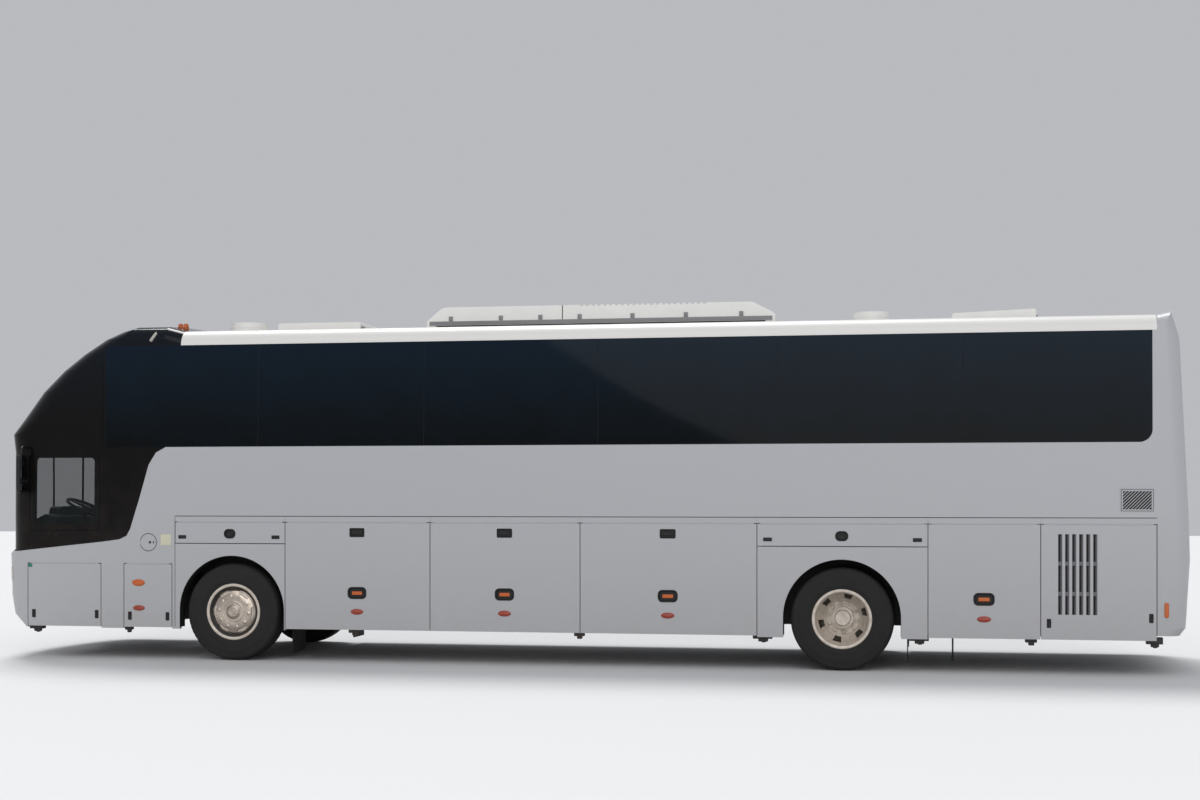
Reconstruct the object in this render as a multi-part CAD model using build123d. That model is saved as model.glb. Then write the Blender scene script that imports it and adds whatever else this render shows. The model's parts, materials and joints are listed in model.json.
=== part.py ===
"""Twelve-metre high-deck coach: hollow body, top-hinged lower flaps, steered front axle, twin rear wheels.

Frame: +X forward, +Y to the coach's left, +Z up, origin on the ground under the middle of the coach.
All sizes are millimetres.
"""
from build123d import *
from math import atan2, cos, radians, sin, sqrt
import os

# Overall size
NOSE_X = 6100.0                 # foremost point of the front bumper
TAIL_X = -6100.0                # rearmost point of the rear wall
HALF_WIDTH = 1275.0             # side walls below the waist
BAND_HALF = HALF_WIDTH - 35.0   # side walls at the top of the window band
SKIRT_Z = 320.0                 # bottom of the body
ROOF_TOP = 3452.0               # roof crown on the centre line
CAP_LIFT = 50.0                 # front cap stands this much above the roof
TAIL_LIFT = 30.0                # lip at the rear end of the roof
CAP_RAMP = 184.0                # length over which the roof rises to the cap

# Axles and wheels
FRONT_AXLE_X = 3420.0
REAR_AXLE_X = -2790.0
TYRE_R = 500.0
TYRE_WIDTH = 290.0
RIM_R = 288.0                   # rim flange
BARREL_R = 262.0                # inside of the rim barrel
WHEEL_INSET = 24.0              # tyre wall inside the side wall
TWIN_SPACING = 330.0
KINGPIN_Y = HALF_WIDTH - 350.0
KINGPIN_R = 22.0
SPINDLE_R = 40.0
RUNNING = 0.05                  # radial clearance of a running fit
STEER_ARM = 200.0

# Wall build-up
WALL = 50.0                     # fixed body wall, outer skin to lining
FLAP = 45.0                     # flap or lid, outer skin to lining
GLASS = 8.0
BOND = 0.3                      # clearance between pieces that are bonded or bolted together
SEAM = 8.0                      # gap round every flap
PANE_GAP = 5.0                  # gap between panes
GLASS_LAP = 45.0                # bonded edge of a pane over its frame
HINGE_R = 5.0                   # bar along the top edge of a flap, on the skin
LEAF = 10.0                     # leaf that joins a hinge bar to its flap
HINGE_SHORT = 60.0              # a hinge bar is this much shorter than its flap

# Corner radii of the body in plan
FRONT_BOW_R = 4500.0
REAR_BOW_R = 9000.0
REAR_CORNER_R = 150.0
ROOF_EDGE_R = 165.0

# Heights of the side's lines
WAIST_Z = 1484.0                # groove above the hinge rail
HINGE_Z = 1423.0                # top edge of the long flaps
HATCH_Z = 1203.0                # bottom edge of the wheel hatches
LOCKER_TOP_Z = 990.0            # top edge of the two short front flaps
FLAP_BOTTOM_Z = 330.0
BAND_Z = 2197.0                 # bottom of the window band
BAND_TOP_Z = 3249.0             # top of the window band
DECK_TOP = 1420.0
DECK_THICK = 60.0
BAY_FLOOR_TOP = 440.0
BAY_FLOOR_THICK = 40.0
CAB_FLOOR_TOP = 950.0

# Stations of the side's vertical lines
CAB_FRONT_X = 5675.0
BUMPER_JOINT_X = CAB_FRONT_X + SEAM / 2
CAB_REAR_X = 4855.0
LOCKER_FRONT_X = 4600.0
LOCKER_REAR_X = 4070.0
WHEEL_PANEL_FRONT_X = 4036.0
BAY_1_X = 2844.0
BAY_2_X = 1314.0
BAY_3_X = -222.0
REAR_WHEEL_PANEL_X = -1973.0
REAR_LOCKER_X = -3608.0
ENGINE_DOOR_X = -4656.0
REAR_JOINT_X = -5713.0
BAND_REAR_X = -5676.0
CAP_REAR_X = 3986.0
MASK_REAR_X = 4820.0
PANE_JOINTS = (MASK_REAR_X, 3142.0, 1384.0, -396.0, -2171.0, -3939.0, BAND_REAR_X)

# Wheel arch in the side panel
ARCH_R = 565.0
ARCH_Z = 513.0
HOUSE_HALF = 610.0              # half length of the wheel housing
HOUSE_TOP = 1180.0
HOUSE_INNER_Y = HALF_WIDTH - 675.0
PLATE = 10.0

# Front end in side view: height, nose, radius of the corners in plan
FRONT_STATIONS = (
    (SKIRT_Z, 5890.0, 100.0),
    (450.0, 6040.0, 240.0),
    (650.0, 6085.0, 290.0),
    (1090.0, NOSE_X, 300.0),
    (1130.0, 6045.0, 260.0),
    (WAIST_Z, 6045.0, 260.0),
    (2150.0, 6045.0, 260.0),
    (2340.0, 6070.0, 270.0),
    (2500.0, 5960.0, 350.0),
    (2790.0, 5740.0, 350.0),
    (3010.0, 5510.0, 350.0),
    (3180.0, 5283.0, 350.0),
    (3330.0, 5042.0, 350.0),
    (3410.0, 4850.0, 350.0),
    (ROOF_TOP + CAP_LIFT + 20.0, 4400.0, 350.0),
)

# Rear end in side view: height, distance of the tail from the middle
REAR_STATIONS = (
    (SKIRT_Z, 5960.0, REAR_CORNER_R),
    (450.0, 6060.0, REAR_CORNER_R),
    (1090.0, -TAIL_X, REAR_CORNER_R),
    (WAIST_Z, 6090.0, REAR_CORNER_R),
    (3180.0, 6005.0, REAR_CORNER_R),
    (ROOF_TOP + CAP_LIFT + 20.0, 5900.0, REAR_CORNER_R),
)

# Lower edge of the black front mask on the side: x, z, from the nose back to the window band
MASK_LINE = (
    (NOSE_X + 400.0, 1110.0),
    (5797.0, 1113.0),
    (4828.0, 1217.0),
    (4649.0, 1241.0),
    (4570.0, 1279.0),
    (4530.0, 1353.0),
    (4436.0, 1650.0),
    (4332.0, 2014.0),
    (4254.0, 2139.0),
    (4146.0, BAND_Z),
)

# Far outside the body, and how far the inner forms run out below it
FAR = 1600.0
HIGH = 4000.0
OPEN_BELOW = 60.0

# Flats that stand for the arcs of the inner forms
CORNER_FLATS = 3
BOW_FLATS = 6

os.makedirs("parts", exist_ok=True)


def save(shape, node):
    """Write one node."""
    export_step(shape, f"parts/{node}.step")


def side_prism(points, y_low, y_high, radii=None):
    """Outline in the XZ plane carried across from y_low to y_high."""
    if radii is None:
        outline = Polyline(*points, close=True)
    else:
        outline = FilletPolyline(*points, radius=radii, close=True)
    return extrude(Plane.XZ.offset(-y_high) * make_face(outline), y_high - y_low)


def rect_prism(x_low, x_high, z_low, z_high, y_low, y_high, radius=0.0):
    """Upright rectangle in side view, its corners rounded, carried across."""
    corners = ((x_low, z_low), (x_high, z_low), (x_high, z_high), (x_low, z_high))
    radii = [radius] * 4 if radius > 0 else None
    return side_prism(corners, y_low, y_high, radii)


def end_prism(y_half, z_low, z_high, x_low, x_high, radius=0.0):
    """Rectangle in end view, centred on the coach, carried along X."""
    face = RectangleRounded(2 * y_half, z_high - z_low, radius) if radius > 0 else Rectangle(2 * y_half, z_high - z_low)
    plane = Plane.YZ.offset(x_low)
    return extrude(plane * (Pos(0, (z_low + z_high) / 2) * face), x_high - x_low)


def box(x_low, x_high, y_low, y_high, z_low, z_high):
    """Block between two corners."""
    centre = ((x_low + x_high) / 2, (y_low + y_high) / 2, (z_low + z_high) / 2)
    return Pos(*centre) * Box(x_high - x_low, y_high - y_low, z_high - z_low)


def to_right(shape):
    """The same piece on the coach's other side."""
    return mirror(shape, about=Plane.XZ)


def half_width(z):
    """Half the body's width: upright below the waist, leaning in above it."""
    lean = (BAND_HALF - HALF_WIDTH) / (BAND_TOP_Z - WAIST_Z)
    return HALF_WIDTH + lean * max(0.0, z - WAIST_Z)


def end_outline(reach, half, bow_r, corner_r, inset, sign):
    """Outline in plan from the coach's middle to one end: straight sides, round corners, a bowed end.

    Each corner is tangent to the side and to the bow. The inner forms, which nothing shows, have flats for arcs.
    """
    bow = bow_r - inset
    corner = corner_r - inset
    side_y = half - inset
    bow_x = reach - inset - bow
    corner_y = side_y - corner
    corner_x = bow_x + sqrt((bow - corner) ** 2 - corner_y ** 2)
    turn = atan2(corner_y, corner_x - bow_x)
    square = radians(90)

    def on_corner(share):
        angle = square + share * (turn - square)
        return (sign * (corner_x + corner * cos(angle)), corner_y + corner * sin(angle))

    def on_bow(share):
        return (sign * (bow_x + bow * cos(share * turn)), bow * sin(share * turn))

    def across(point):
        return (point[0], -point[1])

    if inset > 0:
        bend = [on_corner(step / CORNER_FLATS) for step in range(CORNER_FLATS + 1)]
        front = [on_bow(1 - 2 * step / BOW_FLATS) for step in range(1, BOW_FLATS)]
        back = [across(point) for point in reversed(bend)]
        return Polyline((0.0, side_y), *bend, *front, *back, (0.0, -side_y), close=True)
    return Wire([
        Line((0.0, -side_y), (0.0, side_y)),
        Line((0.0, side_y), on_corner(0)),
        ThreePointArc(on_corner(0), on_corner(0.5), on_corner(1)),
        ThreePointArc(on_corner(1), on_bow(0), across(on_corner(1))),
        ThreePointArc(across(on_corner(1)), across(on_corner(0.5)), across(on_corner(0))),
        Line(across(on_corner(0)), (0.0, -side_y)),
    ])


def roof_section(x, lift, inset):
    """Cross-section that rounds the roof: crowned top, round edges, wide open below."""
    edge_y = BAND_HALF + 2.0 - ROOF_EDGE_R
    edge_z = ROOF_TOP - 212.0 + lift
    top = ROOF_TOP + lift
    drop = top - edge_z
    crown_r = (edge_y ** 2 + drop ** 2 - ROOF_EDGE_R ** 2) / (2 * (drop - ROOF_EDGE_R))
    turn = atan2(edge_z - top + crown_r, edge_y)
    edge_r = ROOF_EDGE_R - inset
    join = (edge_y + edge_r * cos(turn), edge_z + edge_r * sin(turn))
    mid = (edge_y + edge_r * cos(turn / 2), edge_z + edge_r * sin(turn / 2))
    rim = (edge_y + edge_r, edge_z)
    wide = HALF_WIDTH + 100.0
    points = [(wide, edge_z), (wide, 0.0), (-wide, 0.0), (-wide, edge_z)]
    section = Wire([
        ThreePointArc((-join[0], join[1]), (0.0, top - inset), join),
        ThreePointArc(join, mid, rim),
        Line(rim, points[0]),
        Line(points[0], points[1]),
        Line(points[1], points[2]),
        Line(points[2], points[3]),
        Line(points[3], (-rim[0], rim[1])),
        ThreePointArc((-rim[0], rim[1]), (-mid[0], mid[1]), (-join[0], join[1])),
    ])
    return Plane.YZ.offset(x) * Face(section)


def end_form(stations, bow_r, inset, sign):
    """One end of the body, lofted from the skirt to above the roof; the inner forms run out of the open bottom."""
    sections = []
    for z, reach, corner_r in stations:
        level = z - OPEN_BELOW if z == SKIRT_Z and inset > 0 else z
        outline = end_outline(reach, half_width(z), bow_r, corner_r, inset, sign)
        sections.append(Pos(0, 0, level) * make_face(outline))
    return loft(sections, ruled=True)


def envelope(inset):
    """The coach's outer form, drawn in by inset on every side."""
    body = end_form(FRONT_STATIONS, FRONT_BOW_R, inset, 1) + end_form(REAR_STATIONS, REAR_BOW_R, inset, -1)
    lifts = (
        (TAIL_X - 200.0, TAIL_LIFT),
        (-5870.0, TAIL_LIFT),
        (-5730.0, 0.0),
        (CAP_REAR_X, 0.0),
        (CAP_REAR_X + CAP_RAMP, CAP_LIFT),
        (NOSE_X + 200.0, CAP_LIFT),
    )
    roof = loft([roof_section(x, lift, inset) for x, lift in lifts], ruled=True)
    return body & roof


# Layers of the body: the solid form, the back of the glass, the frame's face behind it, the flaps' back, the hollow
OUTER = envelope(0.0)
GLASS_BACK = envelope(GLASS)
FRAME_FACE = envelope(GLASS + BOND)
FLAP_BACK = envelope(FLAP)
HOLLOW = envelope(WALL)


def skin(space, back):
    """The part of the body's wall that lies in a space, from the outer form in to the back given."""
    return (OUTER & space) - back


def recess(space):
    """What is cut from the wall so that a pane in this space lies flush."""
    return space - FRAME_FACE


MASK_SPACE = side_prism(
    MASK_LINE + ((MASK_REAR_X, BAND_Z), (MASK_REAR_X, BAND_TOP_Z), (CAP_REAR_X, BAND_TOP_Z),
                 (CAP_REAR_X, HIGH), (NOSE_X + 400.0, HIGH)), -FAR, FAR)


def arch_prism(axle_x):
    """Wheel arch: half round on straight sides, open at the skirt, cut through the left wall."""
    upright = rect_prism(axle_x - ARCH_R, axle_x + ARCH_R, 0.0, ARCH_Z, HALF_WIDTH - 150.0, FAR)
    plane = Plane.XZ.offset(-FAR)
    crown = extrude(plane * (Pos(axle_x, ARCH_Z) * Circle(ARCH_R)), FAR - HALF_WIDTH + 150.0)
    return upright + crown


# Flaps of the left side: name, front, rear, bottom, top
LONG_FLAPS = (
    ("front_wheel_hatch", WHEEL_PANEL_FRONT_X, BAY_1_X, HATCH_Z, HINGE_Z),
    ("luggage_flap_1", BAY_1_X, BAY_2_X, FLAP_BOTTOM_Z, HINGE_Z),
    ("luggage_flap_2", BAY_2_X, BAY_3_X, FLAP_BOTTOM_Z, HINGE_Z),
    ("luggage_flap_3", BAY_3_X, REAR_WHEEL_PANEL_X, FLAP_BOTTOM_Z, HINGE_Z),
    ("rear_wheel_hatch", REAR_WHEEL_PANEL_X, REAR_LOCKER_X, HATCH_Z, HINGE_Z),
    ("rear_locker_flap", REAR_LOCKER_X, ENGINE_DOOR_X, FLAP_BOTTOM_Z, HINGE_Z),
    ("engine_side_door", ENGINE_DOOR_X, REAR_JOINT_X, FLAP_BOTTOM_Z, HINGE_Z),
)
BATTERY_FLAP = ("battery_flap", LOCKER_FRONT_X, LOCKER_REAR_X, FLAP_BOTTOM_Z, LOCKER_TOP_Z)
CAB_FLAP = ("cab_locker_flap", CAB_FRONT_X, CAB_REAR_X, FLAP_BOTTOM_Z, LOCKER_TOP_Z)


def flap_space(flap, grow):
    """Prism of one flap, its edges moved out by grow; the bottom runs past the skirt when it opens there."""
    name, front, rear, bottom, top = flap
    low = bottom - grow
    if grow > 0 and bottom == FLAP_BOTTOM_Z:
        low = 0.0
    return rect_prism(rear - grow, front + grow, low, top + grow, HALF_WIDTH - 300.0, FAR)


def side_hinge(flap, r, grow):
    """Bar along a flap's top edge, its axis on the skin."""
    name, front, rear, bottom, top = flap
    length = front - rear - HINGE_SHORT + 2 * grow
    return Pos((front + rear) / 2, HALF_WIDTH, top) * Rot(0, 90, 0) * Cylinder(r, length)


def flap_panel(flap):
    """One flap: the whole thickness of the wall inside its seam, with its hinge bar and leaf."""
    name, front, rear, bottom, top = flap
    half = HINGE_SHORT / 2
    leaf = box(rear + half, front - half, HALF_WIDTH - LEAF, HALF_WIDTH, top - SEAM, top)
    return skin(flap_space(flap, -SEAM / 2), FLAP_BACK) + leaf + side_hinge(flap, HINGE_R, 0.0)


# Louvre slots of the engine side doors: six upright slots in three rows
SLOT_PITCH = 64.0
SLOT_WIDTH = 38.0
SLOT_FRONT_X = -4835.0
SLOT_ROWS = ((570.0, 750.0), (785.0, 1035.0), (1070.0, 1330.0))
SLOT_COUNT = 6


def louvre_slots():
    slots = []
    for index in range(SLOT_COUNT):
        centre = SLOT_FRONT_X - SLOT_PITCH * index
        for low, high in SLOT_ROWS:
            slots.append(rect_prism(centre - SLOT_WIDTH / 2, centre + SLOT_WIDTH / 2, low, high,
                                    HALF_WIDTH - 200.0, FAR))
    return slots


# Handle pockets in the middle of the flaps: width, height, height of the middle above the ground, corner radius
LATCH_POCKET = (150.0, 84.0, 1320.0, 10.0)
GRIP_POCKET = (190.0, 112.0, 708.0, 40.0)
HATCH_POCKET = (118.0, 90.0, 1303.0, 42.0)
POCKET_DEEP = 14.0
POCKETS = {
    "luggage_flap_1": (LATCH_POCKET, GRIP_POCKET),
    "luggage_flap_2": (LATCH_POCKET, GRIP_POCKET),
    "luggage_flap_3": (LATCH_POCKET, GRIP_POCKET),
    "rear_locker_flap": (GRIP_POCKET,),
    "front_wheel_hatch": (HATCH_POCKET,),
    "rear_wheel_hatch": (HATCH_POCKET,),
}


def pocket(flap, place):
    """Rounded pocket sunk into the skin of a flap."""
    middle = (flap[1] + flap[2]) / 2
    width, height, z, radius = place
    return rect_prism(middle - width / 2, middle + width / 2, z - height / 2, z + height / 2,
                      HALF_WIDTH - POCKET_DEEP, FAR, radius)


for flap in LONG_FLAPS + (BATTERY_FLAP, CAB_FLAP):
    panel = flap_panel(flap)
    if flap[0] == "engine_side_door":
        panel = panel - louvre_slots()
    for place in POCKETS.get(flap[0], ()):
        panel = panel - pocket(flap, place)
    save(panel, f"{flap[0]}_left")
    if flap[0] != "cab_locker_flap":
        save(to_right(panel), f"{flap[0]}_right")

# Round filler flap on the left, hinged at its front edge, over a pocket with the filler neck
FILLER_X = 4330.0
FILLER_Z = 1212.0
FILLER_R = 86.0
FILLER_THICK = 12.0
FILLER_DEEP = 36.0
NECK_R = 34.0
FILLER_PIN_R = 3.5
FILLER_PIN_HALF = 25.0


def side_disc(r, y_low, y_high):
    """Round block across the filler's place."""
    return Pos(FILLER_X, (y_low + y_high) / 2, FILLER_Z) * Rot(90, 0, 0) * Cylinder(r, y_high - y_low)


filler_pin_x = FILLER_X + FILLER_R + SEAM / 2
filler_pin = Pos(filler_pin_x, HALF_WIDTH, FILLER_Z) * Cylinder(FILLER_PIN_R, 2 * FILLER_PIN_HALF)
filler_socket = Pos(filler_pin_x, HALF_WIDTH, FILLER_Z) * Cylinder(FILLER_PIN_R + BOND, 2 * FILLER_PIN_HALF + 2.0)
filler_leaf = box(filler_pin_x - 16.0, filler_pin_x, HALF_WIDTH - 6.0, HALF_WIDTH,
                  FILLER_Z - FILLER_PIN_HALF, FILLER_Z + FILLER_PIN_HALF)
filler_flap = side_disc(FILLER_R, HALF_WIDTH - FILLER_THICK, HALF_WIDTH) + filler_leaf + filler_pin
save(filler_flap, "filler_flap")
filler_pocket = side_disc(FILLER_R + SEAM, HALF_WIDTH - FILLER_DEEP, FAR)
filler_neck = side_disc(NECK_R, HALF_WIDTH - FILLER_DEEP - 2.0, HALF_WIDTH - FILLER_THICK - SEAM)

# Windows of the band: one opening behind each pane
PILLAR = 90.0
WINDOW_SILL = 70.0
band_space = side_prism(
    ((BAND_REAR_X, BAND_Z), (MASK_REAR_X, BAND_Z), (MASK_REAR_X, BAND_TOP_Z), (BAND_REAR_X, BAND_TOP_Z)),
    HALF_WIDTH - 300.0, FAR, [120.0, 0.1, 0.1, 0.1])
band_panes = []
band_holes = []
for front, rear in zip(PANE_JOINTS[:-1], PANE_JOINTS[1:]):
    strip = rect_prism(rear + PANE_GAP / 2, front - PANE_GAP / 2, BAND_Z, BAND_TOP_Z, HALF_WIDTH - 300.0, FAR)
    band_panes.append(skin(band_space & strip, GLASS_BACK))
    band_holes.append(rect_prism(rear + PILLAR / 2, front - PILLAR / 2, BAND_Z + WINDOW_SILL,
                                 BAND_TOP_Z - WINDOW_SILL, HALF_WIDTH - 300.0, FAR, 60.0))

# Driver's window on the left and the door's window on the right: x low, x high, z low, z high
CAB_PANE = (CAB_REAR_X + 20.0, CAB_FRONT_X - 20.0, 1330.0, 2150.0)
CAB_HOLE = (CAB_REAR_X + 75.0, CAB_FRONT_X - 75.0, 1400.0, 2090.0)
cab_pane_space = rect_prism(*CAB_PANE, HALF_WIDTH - 300.0, FAR, 50.0)
cab_hole = rect_prism(*CAB_HOLE, HALF_WIDTH - 300.0, FAR, 40.0)
cab_pane = skin(rect_prism(CAB_PANE[0] + 3, CAB_PANE[1] - 3, CAB_PANE[2] + 3, CAB_PANE[3] - 3,
                           HALF_WIDTH - 300.0, FAR, 47.0), GLASS_BACK)

# Side walls: the white wall below the band, the hinge rail, the wheel panels, and the frame behind the glass
SIDE_REAR = REAR_JOINT_X - SEAM / 2
side_space = rect_prism(SIDE_REAR, BUMPER_JOINT_X, SKIRT_Z - 50.0, BAND_TOP_Z, HALF_WIDTH - 300.0, FAR)
side = skin(side_space, HOLLOW) - MASK_SPACE
side = side - recess(band_space)
side = side - band_holes
side = side - [flap_space(flap, SEAM / 2) for flap in LONG_FLAPS + (BATTERY_FLAP,)]
side = side - [arch_prism(FRONT_AXLE_X), arch_prism(REAR_AXLE_X)]
GROOVE = 5.0
groove = rect_prism(SIDE_REAR, WHEEL_PANEL_FRONT_X, WAIST_Z - GROOVE / 2, WAIST_Z + GROOVE / 2,
                    HALF_WIDTH - GROOVE, FAR)
side = side - groove
JOINT = 4.0
joints = [rect_prism(flap[1] - JOINT / 2, flap[1] + JOINT / 2, HINGE_Z + HINGE_R + JOINT, WAIST_Z,
                     HALF_WIDTH - GROOVE, FAR) for flap in LONG_FLAPS[1:]]
joints.append(rect_prism(WHEEL_PANEL_FRONT_X - JOINT / 2, WHEEL_PANEL_FRONT_X + JOINT / 2, SKIRT_Z - 50.0,
                         HINGE_Z - JOINT, HALF_WIDTH - GROOVE, FAR))
side = side - joints

# Grille high on each rear side: a raised frame round a pocket with slanting slats
GRILLE = (-5687.0, -5383.0, 1543.0, 1758.0)     # x low, x high, z low, z high
GRILLE_BORDER = 22.0
GRILLE_DEEP = 30.0
SLAT_PITCH = 21.0
SLAT_THICK = 6.0
SLAT_COUNT = 17
grille_y = half_width((GRILLE[2] + GRILLE[3]) / 2)
grille_frame = rect_prism(*GRILLE, grille_y - GRILLE_DEEP, grille_y + 5.0)
grille_hole = rect_prism(GRILLE[0] + GRILLE_BORDER, GRILLE[1] - GRILLE_BORDER, GRILLE[2] + GRILLE_BORDER,
                         GRILLE[3] - GRILLE_BORDER, grille_y - GRILLE_DEEP, FAR)
slats = []
for index in range(SLAT_COUNT):
    x = (GRILLE[0] + GRILLE[1]) / 2 + SLAT_PITCH * (index - (SLAT_COUNT - 1) / 2)
    slat = Box(SLAT_THICK, GRILLE_DEEP - 4.0, 400.0)
    slat = Pos(x, grille_y - GRILLE_DEEP / 2 - 1.0, (GRILLE[2] + GRILLE[3]) / 2) * Rot(0, 45, 0) * slat
    slats.append(slat & grille_hole)
side = (side - grille_hole) + ((grille_frame - grille_hole) + slats)
side = side - [side_hinge(flap, HINGE_R + BOND, 1.0) for flap in LONG_FLAPS + (BATTERY_FLAP,)]

# Posts behind the seams carry the lower panels, and a rail above the deck joins them: front edge of each post
POST = 60.0
POST_DEPTH = 45.0
POST_LOW = SKIRT_Z + 40.0
POST_HIGH = WAIST_Z - 4.0
RAIL_UNDER = DECK_TOP + 10.0
DOOR_POST_HIGH = 1180.0
POST_FRONTS = (CAB_REAR_X - 40.0, LOCKER_FRONT_X + 40.0 + POST, WHEEL_PANEL_FRONT_X + 20.0 + POST,
               BAY_1_X + 12.0, BAY_2_X + POST / 2, BAY_3_X + POST / 2, REAR_WHEEL_PANEL_X + POST / 3,
               REAR_LOCKER_X + POST / 2, ENGINE_DOOR_X + POST / 2, SIDE_REAR + POST)
post_y = HALF_WIDTH - WALL
inner_y = post_y - POST_DEPTH
posts = [box(front - POST, front, inner_y, post_y, POST_LOW, POST_HIGH) for front in POST_FRONTS]
posts.append(box(SIDE_REAR, CAB_REAR_X - 40.0, inner_y, post_y, RAIL_UNDER, POST_HIGH))
door_post = box(CAB_REAR_X - POST, CAB_REAR_X + 20.0, inner_y, HALF_WIDTH - FLAP - BOND, POST_LOW, DOOR_POST_HIGH)
left_side = side - [flap_space(CAB_FLAP, SEAM / 2), side_hinge(CAB_FLAP, HINGE_R + BOND, 1.0)]
left_side = left_side - [filler_pocket, filler_socket]
left_side = left_side + posts + filler_neck
right_door_space = rect_prism(CAB_REAR_X - SEAM / 2, CAB_FRONT_X + SEAM / 2, 0.0, CAB_PANE[3] + 40.0,
                              HALF_WIDTH - 300.0, FAR)
right_side = to_right((side - right_door_space) + posts + door_post)
save(left_side, "side_wall_left")
save(right_side, "side_wall_right")

# Roof panel, from the cap to the rear wall
roof_space = box(SIDE_REAR, CAP_REAR_X, -FAR, FAR, BAND_TOP_Z, HIGH)
roof = skin(roof_space, HOLLOW)
save(roof, "roof_panel")

# Windscreen: a tall lower pane and a raked upper pane, each half width, low, high
SCREEN_LOW = (HALF_WIDTH - 145.0, 1210.0, 2300.0)
SCREEN_HIGH = (HALF_WIDTH - 185.0, 2390.0, 3090.0)
SCREEN_BACK_X = 4700.0


def screen_space(pane, grow):
    half, low, high = pane
    return end_prism(half + grow, low - grow, high + grow, SCREEN_BACK_X, NOSE_X + 300.0, 90.0)


screen_panes = [skin(screen_space(pane, -3.0), GLASS_BACK) for pane in (SCREEN_LOW, SCREEN_HIGH)]
save(Compound(children=[solid for pane in screen_panes for solid in pane.solids()]), "windscreen")

# Black front mask: cap, pillars and the band round the windscreen and the cab windows
mask = (OUTER & MASK_SPACE) - HOLLOW
mask = mask - [recess(screen_space(pane, 0.0)) for pane in (SCREEN_LOW, SCREEN_HIGH)]
mask = mask - [screen_space(pane, -GLASS_LAP) for pane in (SCREEN_LOW, SCREEN_HIGH)]
mask = mask - [recess(cab_pane_space), cab_hole, to_right(right_door_space)]
QUARTER_X = 4848.0
quarter_joint = rect_prism(QUARTER_X - JOINT / 2, QUARTER_X + JOINT / 2, CAB_PANE[3] + 30.0, BAND_TOP_Z - 190.0,
                           HALF_WIDTH - 60.0, FAR)
quarter_joint = quarter_joint - envelope(GROOVE)
mask = mask - [quarter_joint, to_right(quarter_joint)]
save(mask, "front_mask")

# White lower front, from one side wall round to the other
bumper_space = box(BUMPER_JOINT_X, NOSE_X + 200.0, -FAR, FAR, SKIRT_Z - 50.0, MASK_LINE[1][1] + 40.0)
bumper = skin(bumper_space, HOLLOW) - MASK_SPACE
LAMP_SPACE = (HALF_WIDTH - 715.0, HALF_WIDTH - 125.0, 690.0, 930.0)     # y low, y high, z low, z high of a headlamp
lamp_box = box(5400.0, NOSE_X + 200.0, *LAMP_SPACE)
lamp_back = envelope(30.0)
lamp_hole = lamp_box - lamp_back
lamp_left = skin(box(5400.0, NOSE_X + 200.0, LAMP_SPACE[0] + 2, LAMP_SPACE[1] - 2, LAMP_SPACE[2] + 2, LAMP_SPACE[3] - 2),
                 envelope(30.0 - BOND))
bumper = bumper - [lamp_hole, to_right(lamp_hole)]
INTAKE_HALF = 440.0
INTAKE_ROWS = (470.0, 515.0, 560.0, 605.0)
INTAKE_HIGH = 26.0
bumper = bumper - [end_prism(INTAKE_HALF, z, z + INTAKE_HIGH, 5700.0, NOSE_X + 200.0) for z in INTAKE_ROWS]
save(bumper, "front_bumper")

# Rear wall with its window, lid and lamps
REAR_GLASS = (HALF_WIDTH - 315.0, 2260.0, 3060.0)
LID = (HALF_WIDTH - 455.0, 600.0, 1760.0)
REAR_FRONT_X = -5200.0
LID_HINGE_X = -6082.0
LID_HINGE_HALF = 260.0
LID_HINGE_R = 8.0


def rear_space(opening, grow, radius=70.0):
    half, low, high = opening
    return end_prism(half + grow, low - grow, high + grow, TAIL_X - 300.0, REAR_FRONT_X, radius)


def lid_hinge(r, grow):
    """Bar along the top edge of the engine lid."""
    return Pos(LID_HINGE_X, 0, LID[2]) * Rot(90, 0, 0) * Cylinder(r, 2 * LID_HINGE_HALF + 2 * grow)


rear = skin(box(TAIL_X - 200.0, SIDE_REAR, -FAR, FAR, SKIRT_Z + 60.0, HIGH), HOLLOW)
rear = rear - recess(rear_space(REAR_GLASS, 0.0))
rear = rear - [rear_space(REAR_GLASS, -GLASS_LAP), rear_space(LID, SEAM / 2, 40.0)]
rear = rear - lid_hinge(LID_HINGE_R + BOND, 1.0)
TAIL_LAMP = (HALF_WIDTH - 315.0, HALF_WIDTH - 125.0, 820.0, 1500.0)
tail_box = box(TAIL_X - 200.0, -5700.0, *TAIL_LAMP)
tail_hole = tail_box - lamp_back
tail_left = skin(box(TAIL_X - 200.0, -5700.0, TAIL_LAMP[0] + 2, TAIL_LAMP[1] - 2, TAIL_LAMP[2] + 2, TAIL_LAMP[3] - 2),
                 envelope(30.0 - BOND))
rear = rear - [tail_hole, to_right(tail_hole)]
save(rear, "rear_wall")
save(skin(rear_space(REAR_GLASS, -3.0), GLASS_BACK), "rear_window")
lid = skin(rear_space(LID, -SEAM / 2, 36.0), FLAP_BACK)
LID_LOUVRE_HALF = 560.0
LID_LOUVRES = 7
LID_LOUVRE_HIGH = 26.0
LID_LOUVRE_PITCH = 70.0
for index in range(LID_LOUVRES):
    z = LID[1] + 180.0 + LID_LOUVRE_PITCH * index
    lid = lid - end_prism(LID_LOUVRE_HALF, z, z + LID_LOUVRE_HIGH, TAIL_X - 200.0, REAR_FRONT_X)
lid_leaf = box(LID_HINGE_X, LID_HINGE_X + 2 * LEAF, -LID_HINGE_HALF, LID_HINGE_HALF, LID[2] - SEAM, LID[2])
save(lid + lid_leaf + lid_hinge(LID_HINGE_R, 0.0), "engine_lid")
lamps = lamp_left.solids() + tail_left.solids()
lamps = lamps + [solid for lamp in lamps for solid in to_right(lamp).solids()]
save(Compound(children=lamps), "lamps")

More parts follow.
